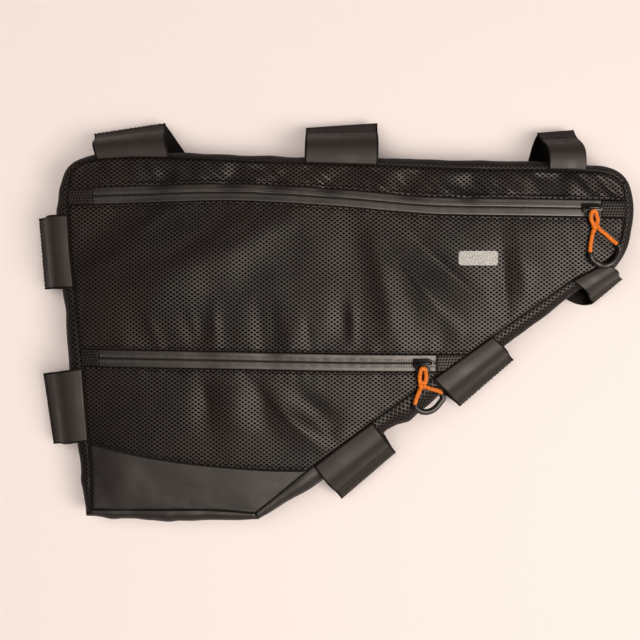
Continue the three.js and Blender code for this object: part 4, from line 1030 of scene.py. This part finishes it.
def alongLineTree():  # small rounded pieces at even distances along lines
    tree = bpy.data.node_groups.new("piecesAlongLine", "GeometryNodeTree")
    tree.interface.new_socket(name="Lines", in_out="INPUT", socket_type="NodeSocketGeometry")
    sizes = {"Spacing": 0.002, "Length": 0.0015, "Width": 0.0004, "Height": 0.0004, "Uneven": 0.05}
    for label, value in sizes.items():
        socket = tree.interface.new_socket(name=label, in_out="INPUT", socket_type="NodeSocketFloat")
        socket.default_value = value
    tree.interface.new_socket(name="Seed", in_out="INPUT", socket_type="NodeSocketInt").default_value = 7
    tree.interface.new_socket(name="Finish", in_out="INPUT", socket_type="NodeSocketMaterial")
    tree.interface.new_socket(name="Pieces", in_out="OUTPUT", socket_type="NodeSocketGeometry")
    n = Nodes(tree)
    given, put = n.add("NodeGroupInput").outputs, n.add("NodeGroupOutput").inputs
    curve = n.add("GeometryNodeMeshToCurve", {0: given["Lines"]}).outputs[0]
    points = n.add("GeometryNodeCurveToPoints", {"Curve": curve, "Length": given["Spacing"]}, mode="LENGTH")
    ahead, kind = points.outputs["Tangent"], "FunctionNodeAlignRotationToVector"
    level = n.add(kind, {"Vector": ahead}, axis="X", pivot_axis="Z").outputs[0]
    turned = n.add(kind, {"Rotation": level, "Vector": ahead}, axis="X", pivot_axis="AUTO").outputs[0]
    bead = n.add("GeometryNodeMeshUVSphere", {"Segments": 8, "Rings": 5, "Radius": 0.5}).outputs[0]
    size = n.add("ShaderNodeCombineXYZ", {0: given["Length"], 1: given["Width"], 2: given["Height"]})
    least, most = (n.math(operation, 1.0, given["Uneven"]) for operation in ("SUBTRACT", "ADD"))
    spread = n.add("FunctionNodeRandomValue", {2: least, 3: most, "Seed": given["Seed"]}, data_type="FLOAT")
    scaled = n.add(
        "ShaderNodeVectorMath", {0: size.outputs[0], "Scale": spread.outputs[1]}, operation="SCALE"
    ).outputs[0]
    placed = n.add(
        "GeometryNodeInstanceOnPoints",
        {"Points": points.outputs[0], "Instance": bead, "Rotation": turned, "Scale": scaled},
    )
    real = n.add("GeometryNodeRealizeInstances", {0: placed.outputs[0]})
    smooth = n.add("GeometryNodeSetShadeSmooth", {0: real.outputs[0]})
    painted = n.add("GeometryNodeSetMaterial", {"Geometry": smooth.outputs[0], "Material": given["Finish"]})
    tree.links.new(painted.outputs[0], put[0])
    return tree


alongLine = alongLineTree()


# A plain mesh of pieces along the lines, whose points are in plan millimetres
def repeated(name, lines, finish, values):
    points, links = [], []
    for line in lines:
        start = len(points)
        points += [tuple((np.array(point) + toFrame) * 0.001) for point in line]
        links += [(start + k, start + k + 1) for k in range(len(line) - 1)]
    mesh = bpy.data.meshes.new(f"{name}Lines")
    mesh.from_pydata(points, links, [])
    guide = bpy.data.objects.new(f"{name}Lines", mesh)
    bpy.context.collection.objects.link(guide)
    modifier = guide.modifiers.new("pieces", "NODES")
    modifier.node_group = alongLine
    settings = {**values, "Finish": materials[finish]}
    for item in alongLine.interface.items_tree:
        if item.in_out == "INPUT" and item.name in settings:
            modifier[item.identifier] = settings[item.name]
    bpy.context.view_layer.update()
    shown = guide.evaluated_get(bpy.context.evaluated_depsgraph_get())
    made = bpy.data.objects.new(name, bpy.data.meshes.new_from_object(shown))
    made.data.name = name
    bpy.context.collection.objects.link(made)
    guide.modifiers.clear()
    bpy.data.objects.remove(guide)
    return made


# Sizes of the repeated pieces in metres
teeth = {
    "ribs": {
        "Spacing": 0.00125, "Length": 0.00075, "Width": 0.0034, "Height": 0.00034, "Uneven": 0.04, "Seed": 3,
    },
    "coil": {
        "Spacing": 0.0013, "Length": 0.0009, "Width": 0.0044, "Height": 0.0014, "Uneven": 0.02, "Seed": 5,
    },
    "ribAway": 2.15, "ribLift": 0.02,
}
stitches = {
    "Spacing": 0.0029, "Length": 0.0022, "Width": 0.00085, "Height": 0.0006, "Uneven": 0.08, "Seed": 11,
}
stitching = {"sunk": 0.1, "sunkInTape": 0.02, "fromSeam": 3.0, "between": 24}
stitchLines = []


def stitchAcross(line, offset, count):  # a row of stitches in the front cloth, beside a line across it
    row = acrossFront(line, offset)
    x = np.linspace(row["fromX"] + stitching["fromSeam"], row["toX"] - stitching["fromSeam"], count)
    y = line(x) + offset
    z = frontHeight(x, y) + wrinkles(x, y) - stitching["sunk"]
    stitchLines.append(np.stack([x, y, z], axis=-1))


def tapeHeight(x, y):
    return frontHeight(x, y) - zipper["drop"]


def zipTape(name, node, line, fromX, toX, low, high):
    x = np.linspace(fromX, toX, int((toX - fromX) / zipper["step"]) + 2)
    across = np.linspace(high, low, 8)
    gridX = np.broadcast_to(x[None], (len(across), len(x)))
    gridY = line(x)[None] + across[:, None]
    edge = np.minimum(across - low, high - across)[:, None]
    z = tapeHeight(gridX, gridY) - zipper["dip"] * np.exp(-((edge / zipper["dipReach"]) ** 2))
    uneven = zipper["uneven"]
    z = z + uneven["rise"] * noiseAt(gridX, gridY * 0.2, uneven["size"], uneven["seed"])
    outer = np.stack([gridX, gridY, z], axis=-1)
    inner = outer - (0, 0, zipper["tape"] * panel["thin"])
    uvs = np.stack([gridX, gridY], axis=-1)
    dress(slab(name, outer, inner, "zipTape", uvs), "zip_tape", node)


# The cloth tab at a zip's end: step, thickness, share of the wrinkles, and how far its edges dip
tab = {
    "step": 1.2, "thick": 0.9, "wave": 0.6, "dipReach": 0.7,
    "dips": {"top": 0.7, "bottom": 0.7, "seat": 0.3, "nose": 0.3},
}


def tabPiece(name, node, sides):
    grid, away = patchGrid(*sides, tab["step"])
    x, y = grid[..., 0], grid[..., 1]
    z = frontHeight(x, y) + tab["wave"] * wrinkles(x, y)
    for side, distance in away.items():
        z = z - tab["dips"][side] * np.exp(-((distance / tab["dipReach"]) ** 2))
    outer = np.stack([x, y, z], axis=-1)
    turned = np.stack([x * 0.8 + y * 0.6, y * 0.8 - x * 0.6], axis=-1)  # its weave is cut at a slant
    piece = slab(name, outer, outer - (0, 0, tab["thick"]), "ripstopSide", turned)
    dress(piece, "ripstop_cloth", node)


def acrossZip(line, x):  # the side of a tab beside the tape
    return lambda part: np.stack([np.full(len(part), x), line(x) + halfZip - part * zipper["width"]], axis=-1)


for which, line in (("upper", upperZipLine), ("lower", lowerZipLine)):
    high, low = acrossFront(line, halfZip), acrossFront(line, -halfZip)
    fromX = max(high["fromX"], low["fromX"]) + zipper[f"{which}SeatTab"]
    toX = min(high["toX"], low["toX"]) - zipper[f"{which}NoseTab"]
    slotHalf = zipper["slot"] / 2
    zipTape(f"{which}TapeTop", f"{which}_zip_tape_top", line, fromX, toX, slotHalf, halfZip)
    zipTape(f"{which}TapeBottom", f"{which}_zip_tape_bottom", line, fromX, toX, -halfZip, -slotHalf)
    seatX, noseX = fromX - bag["gap"], toX + bag["gap"]
    tabPiece(f"{which}SeatTab", f"{which}_zip_seat_tab", (
        lambda part: lineSide(high, part, toX=seatX),
        lambda part: lineSide(low, part, toX=seatX),
        lambda part: seamSide(high["seat"], low["seat"], part),
        acrossZip(line, seatX),
    ))
    tabPiece(f"{which}NoseTab", f"{which}_zip_nose_tab", (
        lambda part: lineSide(high, part, fromX=noseX),
        lambda part: lineSide(low, part, fromX=noseX),
        acrossZip(line, noseX),
        lambda part: seamSide(high["nose"], low["nose"], part),
    ))
    x = np.linspace(fromX + 1, toX - 1, int((toX - fromX) / 3))
    coilZ = tapeHeight(x, line(x)) - zipper["tape"] - zipper["coilUnder"]
    coil = repeated(f"{which}Coil", [np.stack([x, line(x), coilZ], axis=-1)], "zipTeeth", teeth["coil"])
    dress(coil, "zip_coil", f"{which}_zip_coil")
    ribLines = []
    for across in (teeth["ribAway"], -teeth["ribAway"]):
        y = line(x) + across
        ribLines.append(np.stack([x, y, tapeHeight(x, y) + teeth["ribLift"]], axis=-1))
    dress(repeated(f"{which}Ribs", ribLines, "zipTape", teeth["ribs"]), "zip_tape")
    beside = halfZip + bag["gap"] + panel["stitchIn"]
    for offset in (beside, -beside):
        stitchAcross(line, offset, 160)
stitchAcross(guardLine, panel["stitchIn"], 90)
print("zips made")


# The plate's outline, the bridge's route and half of the wire bow, which runs from the bridge down
# to the knot: across, along, height
slider = {
    "wall": 1.7, "wire": 1.2, "bridge": 2.16667, "step": 0.5, "floor": 0.05,
    "plate": [
        (-6.9, -3.4), (4.1, -3.4), (6.7, -1.9), (7.5, -1.0), (7.5, 1.0), (6.7, 1.9), (4.1, 3.4),
        (-6.9, 3.4), (-7.5, 2.6), (-7.5, -2.6),
    ],
    "crown": {"long": 0.82, "wide": 0.62, "under": 0.3, "over": 0.7}, "rounds": (0.45, 0.4),
    "arch": [(-5.2, 1.2), (-4.6, 3.0), (-2.4, 3.6), (2.2, 3.6), (4.4, 3.0), (5.4, 1.2)],
    "bow": [
        (0.4, -2.6, 4.1), (3.4, -2.7, 3.6), (4.4, -4.2, 2.9), (4.1, -8.5, 2.1), (2.7, -12.4, 1.7),
        (0.6, -13.6, 1.6),
    ],
}


def beveled(name, points, faces, finish, width, segments=3):  # a hard piece with rounded edges
    mesh = bpy.data.meshes.new(name)
    mesh.from_pydata([tuple((np.array(p) + toFrame) * 0.001) for p in points], [], faces)
    made = bpy.data.objects.new(name, mesh)
    bpy.context.collection.objects.link(made)
    work = bmesh.new()
    work.from_mesh(mesh)
    bmesh.ops.recalc_face_normals(work, faces=work.faces)
    work.to_mesh(mesh)
    work.free()
    rounding = made.modifiers.new("rounding", "BEVEL")
    rounding.width, rounding.segments, rounding.limit_method = width * 0.001, segments, "ANGLE"
    shown = made.evaluated_get(bpy.context.evaluated_depsgraph_get())
    rounded = bpy.data.meshes.new_from_object(shown)
    made.modifiers.clear()
    made.data = rounded
    rounded.name = name
    layer = rounded.uv_layers.get("cloth") or rounded.uv_layers.new(name="cloth")
    for loop in rounded.loops:
        co = rounded.vertices[loop.vertex_index].co
        layer.data[loop.index].uv = (co.x + co.z, co.y + co.z)
    rounded.materials.append(materials[finish])
    for face in rounded.polygons:
        face.use_smooth = True
    return made


def prism(outlinePoints, low, high, middle):  # points and faces of a plate of that outline
    count = len(outlinePoints)
    points = [(x + middle[0], y + middle[1], z + middle[2]) for z in (low, high) for x, y in outlinePoints]
    faces = [tuple(range(count))[::-1], tuple(range(count, 2 * count))]
    faces += [(k, (k + 1) % count, count + (k + 1) % count, count + k) for k in range(count)]
    return points, faces


def joinPieces(name, pieces):  # pieces of one finish become one
    mesh = bmesh.new()
    for piece in pieces:
        mesh.from_mesh(piece.data)
    whole = bpy.data.meshes.new(name)
    mesh.to_mesh(whole)
    mesh.free()
    whole.materials.append(pieces[0].data.materials[0])
    for piece in pieces:
        bpy.data.objects.remove(piece)
    made = bpy.data.objects.new(name, whole)
    bpy.context.collection.objects.link(made)
    return made


for which, pull in pulls.items():
    middle, body = np.array(pull["seat"]), slider["plate"]
    wall, crown = slider["wall"], slider["crown"]
    plate = beveled(
        f"{which}Plate", *prism(body, slider["floor"], wall, middle), "blackEnamel", slider["rounds"][0]
    )
    inner = [(x * crown["long"], y * crown["wide"]) for x, y in body]
    top = beveled(
        f"{which}Crown", *prism(inner, wall - crown["under"], wall + crown["over"], middle), "blackEnamel",
        slider["rounds"][1],
    )
    route = smoothRoute([middle + (x, 0, z) for x, z in slider["arch"]])
    bridge = tube(
        f"{which}Bridge", evenly(route, slider["step"]), slider["bridge"] / 2, 12, "blackEnamel", lip=0.3
    )
    toKnot = np.array(pull["knot"]) - middle
    rows = [(across * x, y, z) for across in (-1, 1) for x, y, z in slider["bow"][:: -across]]
    end = slider["bow"][-1][1]
    rows = [middle + (x + toKnot[0] * (y / end) ** 2, y * toKnot[1] / end, z) for x, y, z in rows]
    route = evenly(smoothRoute(rows), slider["step"])
    ring = tube(f"{which}Ring", route, slider["wire"] / 2, 10, "blackEnamel", lip=0.2)
    dress(joinPieces(f"{which}Slider", [plate, top, bridge, ring]), "slider_metal", f"{which}_slider")
print("sliders made")


# Dark line along the seam around the front and the base: a thin near-black tube sunk in the seam, painted
# shade of the seam's groove rather than a real piece
shadeLine = {"radius": 0.62, "under": 1.0, "spacing": 1.6}
run = np.linspace(0, 1, int(seam.length / shadeLine["spacing"]))
rounds = [(seam, run), (base, np.linspace(0, 1, int(base.length / shadeLine["spacing"])))]
places = np.vstack([curve.at(share)[:-1] for curve, share in rounds])
route = np.column_stack([places, seamHeight(*places.T) - shadeLine["under"]])
# painted shade: the near-black tube that darkens the seam's groove
dress(tube("seamShadeLine", route, shadeLine["radius"], 8, "thread", closed=True), "ripstop_cloth")
print("seam binding made")


strap = {
    "wide": 53.6, "narrow": 27.4, "wall": 1.6, "reach": 34.0, "clear": 0.6, "room": 0.7, "columns": 30,
    "edge": 0.75, "round": 0.7, "ripple": {"rise": 0.12, "size": 14, "from": 2, "full": 8},
}
# name, share of the seam, width, reach at its two sides, shift of the end, shift of the back leg
strapRows = [
    ("seat_lower", 0.0753, "wide", 0.93, 1.06, -0.06, 0), ("seat_upper", 0.1837, "wide", 0.8, 0.8, 0.04, 0),
    ("top_rear", 0.286, "wide", 0.64, 0.88, -0.13, 0.26), ("top_middle", 0.4328, "wide", 0.91, 1.06, 0, 0),
    ("top_front", 0.5926, "narrow", 0.93, 1.01, -0.14, -0.42),
    ("slope_upper", 0.7089, "narrow", 0.49, 0.71, -0.5, 0.3),
    ("slope_middle", 0.8165, "wide", 0.77, 0.92, -0.11, 0.06),
    ("slope_lower", 0.9204, "wide", 0.94, 1.05, 0, -0.06),
]
# How late a front leg leans over, and how far the last side of a back leg bulges outwards
leans = {"top_front": 2.4}
bulges = {"slope_upper": 6.5}
# Both legs from the seam to the end: share of the reach, share of the height at the seam, and how
# close the back leg lies under the front leg
legRows = [
    (0, 0.94, 0), (0.22, 1.02, 0), (0.42, 0.985, 0), (0.57, 0.86, 0), (0.68, 0.68, 0),
    (0.78, 0.48, 0.16), (0.88, 0.37, 0.62), (0.94, 0.32, 1), (1, 0.3, 1),
]


def edgeDistance(x, y):  # distance outside the seam and the swell of the side cloth there
    distance, nearest = nearestOutline(x, y)
    seamCount, baseCount = outlineCount["seam"], outlineCount["base"]
    onSeam, onBase = swellAt("seam", nearest / seamCount), swellAt("base", (nearest - seamCount) / baseCount)
    return distance, np.where(nearest < seamCount, onSeam, onBase)


def shoulderHeight(x, y, room):  # top of the side cloth under a strap, as far as room from it
    out, swell = edgeDistance(x, y)
    share = np.maximum(out - room, 0) / swell
    height = seamHeight(np.ravel(x), np.ravel(y))
    ups = [(0, 1.0)] + [(o, u) for o, u in sectionRows[:4]]
    top = np.interp(share, [o for o, _ in ups], [u for _, u in ups])
    top = np.where(share <= 0, 1 - (bag["cloth"] + bag["gap"]) / height, top)
    return np.where(share > 1, 0, height * top)


# Middle lines of a strap's front and back legs, as grids of columns and places outwards
def strapGrids(row):
    name, at, size, first, last, tipShift, backShift = row
    width = strap[size]
    middle, outward = seam.at(at), seam.normal(np.array([at]))[0]
    alongDir = np.array([outward[1], -outward[0]])
    front, back = [], []
    for part in np.linspace(0, 1, 3):
        along = (part - 0.5) * width
        reach = strap["reach"] * (first + (last - first) * part)
        foot = seam.at(at + along / seam.length, strap["clear"])
        backFoot = seam.at(at + (along + backShift * width) / seam.length, strap["clear"])
        tip = middle + alongDir * (along + tipShift * width) + outward * reach
        height = float(seamHeight(*foot))
        lean, leaning = leans.get(name, 1), alongDir * tipShift * width
        plan = np.array([foot + (tip - foot - leaning) * out + leaning * out**lean for out, _, _ in legRows])
        lowest = shoulderHeight(plan[:, 0], plan[:, 1], strap["wall"]) + strap["room"] + strap["wall"] / 2
        frontLine = np.column_stack([plan, np.maximum([f * height for _, f, _ in legRows], lowest)])
        bulge = outward * bulges.get(name, 0) * part**2
        outs = np.array([out for out, _, _ in legRows])[:, None]
        backPlan = backFoot + (tip - backFoot) * outs + bulge * np.clip(np.sin(math.pi * outs), 0, 1) ** 0.8
        run = np.roll(frontLine, -1, axis=0) - np.roll(frontLine, 1, axis=0)
        run[0], run[-1] = frontLine[1] - frontLine[0], frontLine[-1] - frontLine[-2]
        upright = np.linalg.norm(run, axis=1) / np.hypot(run[:, 0], run[:, 1])
        pressed = frontLine[:, 2] - (strap["wall"] + bag["gap"]) * upright
        near = np.array([b for _, _, b in legRows])
        back.append(np.column_stack([backPlan, strap["wall"] / 2 + (pressed - strap["wall"] / 2) * near]))
        front.append(frontLine)
    return np.array(front), np.array(back)


# A dark hook layer shows around each front leg, partly the real hook tape and partly painted shade, as it is
# made wider than the leg to darken the strap's edges; its end is frayed by so many millimetres
hookLayer = {
    "thick": 0.8, "spill": 0.5, "past": 0.3, "trim": 0.9, "gap": 0.04, "columns": 96, "tooth": 3.1,
    "fray": 0.1, "frays": {"top_rear": 0.9, "seat_upper": 0.7, "slope_upper": 1.0, "slope_middle": 0.7},
}


# More columns and places outwards, smooth; spill widens the strap on both sides
def fineGrid(coarse, columns, spill):
    fine = smoothRoute(coarse.transpose(1, 0, 2).reshape(len(legRows), -1), 5)
    fine = fine.reshape(len(fine), 3, 3).transpose(1, 0, 2)
    edge = strap["edge"] / strap["wide"]
    ends = np.array([0, 0.08, 0.25, 0.5, 1.0]) * edge
    parts = np.concatenate([ends, np.linspace(edge * 1.6, 1 - edge * 1.6, columns), 1 - ends[::-1]])
    parts = 0.5 + (parts - 0.5) * (1 + 2 * spill / strap["wide"])
    low = np.clip((parts * 2).astype(int), 0, 1)
    share = (parts * 2 - low)[:, None, None]
    return fine[low] * (1 - share) + fine[low + 1] * share, parts


def roundedOff(distance):  # share of the full thickness at a distance from an edge
    inwards = np.clip(distance / strap["round"], 0, 1)
    return np.sqrt(np.clip(1 - (1 - inwards) ** 2, 0.01, 1))


def thickness(parts, rows):  # half thickness, rounded off at the two sides and at the end
    fromSide = np.minimum(parts, 1 - parts) * strap["wide"]
    fromEnd = (1 - np.linspace(0, 1, rows)) * strap["reach"]
    return strap["wall"] / 2 * roundedOff(fromSide)[:, None] * roundedOff(fromEnd)[None]


materialOf = {"strap_tape": "strapTape", "hook_tape": "hookTape"}


# One layer of a leg; layer gives its lower and upper face above the middle, and a face that isn't
# given follows the strap's rounded thickness
def tapePiece(name, coarse, finish, nodes, seed, layer, columns, spill=0.0, past=0.0, fray=0.0):
    grid, parts = fineGrid(coarse, columns, spill)
    runOut, runAcross = np.gradient(grid, axis=1), np.gradient(grid, axis=0)
    normal = np.cross(runAcross, runOut)
    normal /= np.linalg.norm(normal, axis=-1, keepdims=True)
    normal *= np.where(normal[..., 2:] < 0, -1, 1)
    shape = grid.shape[:2]
    u = np.broadcast_to(parts[:, None] * strap["wide"], shape)
    v = np.broadcast_to(np.linspace(0, 1, shape[1])[None] * strap["reach"], shape)
    wave = strap["ripple"]
    ripple = wave["rise"] * noiseAt(u, v, wave["size"], seed) * softStep(v, wave["from"], wave["full"])
    grid = grid + normal * ripple[..., None]
    teethRun = u[:, 0] / hookLayer["tooth"] + 0.3 * noiseAt(u[:, 0], v[:, 0], 3, seed)
    teethRun = np.abs(teethRun % 1 - 0.5) * 2
    outwards = runOut[:, -1] / np.linalg.norm(runOut[:, -1], axis=-1, keepdims=True)
    grid[:, -1] += outwards * (past + fray * teethRun)[:, None]
    half = thickness(parts, shape[1])[..., None]
    lower, upper = (side if face is None else face for face, side in zip(layer, (-half, half)))
    uvs = np.stack([u, v], axis=-1)
    piece = slab(name, grid + normal * upper, grid + normal * lower, materialOf[finish], uvs)
    dress(piece, finish, *nodes)
    return grid, normal, parts


strapSurfaces = {}
for number, row in enumerate(strapRows):
    name = row[0]
    label = "strap" + "".join(word.capitalize() for word in name.split("_"))
    front, back = strapGrids(row)
    bottom, trim = -strap["wall"] / 2, -hookLayer["trim"]
    middle, fray = bottom + hookLayer["thick"], hookLayer["frays"].get(name, hookLayer["fray"])
    strapSurfaces[name] = tapePiece(
        f"{label}Front", front, "strap_tape", [f"strap_{name}_front"], number + 0.5, (middle, None),
        strap["columns"], trim, trim,
    )
    # the hook layer, wider than the trimmed front leg so that a dark rim shows: real hook tape and painted
    # shade along the edges
    tapePiece(
        f"{label}Hooks", front, "hook_tape", [], number + 0.5, (bottom, middle - hookLayer["gap"]),
        hookLayer["columns"], hookLayer["spill"], hookLayer["past"], fray,
    )
    tapePiece(
        f"{label}Back", back, "hook_tape", [f"strap_{name}_back"], number + 20.5, (None, None),
        strap["columns"],
    )
print("straps made")


def onStrap(name, places):  # places on a front leg: share across it and share outwards
    grid, normal, parts = strapSurfaces[name]
    columns, rows = grid.shape[:2]
    top = grid + normal * (strap["wall"] / 2 - stitching["sunkInTape"])
    result = []
    for across, out in places:
        c, r = np.interp(across, parts, np.arange(columns)), out * (rows - 1)
        c0, r0 = min(int(c), columns - 2), min(int(r), rows - 2)
        fc, fr = c - c0, r - r0
        low = top[c0, r0] * (1 - fc) + top[c0 + 1, r0] * fc
        high = top[c0, r0 + 1] * (1 - fc) + top[c0 + 1, r0 + 1] * fc
        result.append(low * (1 - fr) + high * fr)
    return np.array(result)


# Rows of stitches near the straps' ends, as shares across and outwards
strapStitches = {
    "top_middle": [(0.035, 0.93), (0.06, 0.7), (0.96, 0.63), (0.965, 0.93)],
    "top_front": [(0.06, 0.66), (0.94, 0.66)],
    "seat_lower": [(0.04, 0.86), (0.96, 0.87)],
    "slope_lower": [(0.05, 0.56), (0.96, 0.62)],
}
for name, corners in strapStitches.items():
    dense = [np.linspace(*pair, stitching["between"]) for pair in zip(corners, corners[1:])]
    stitchLines.append(onStrap(name, np.vstack(dense)))
dress(repeated("stitches", stitchLines, "thread", stitches), "strap_tape")
print("stitches made")
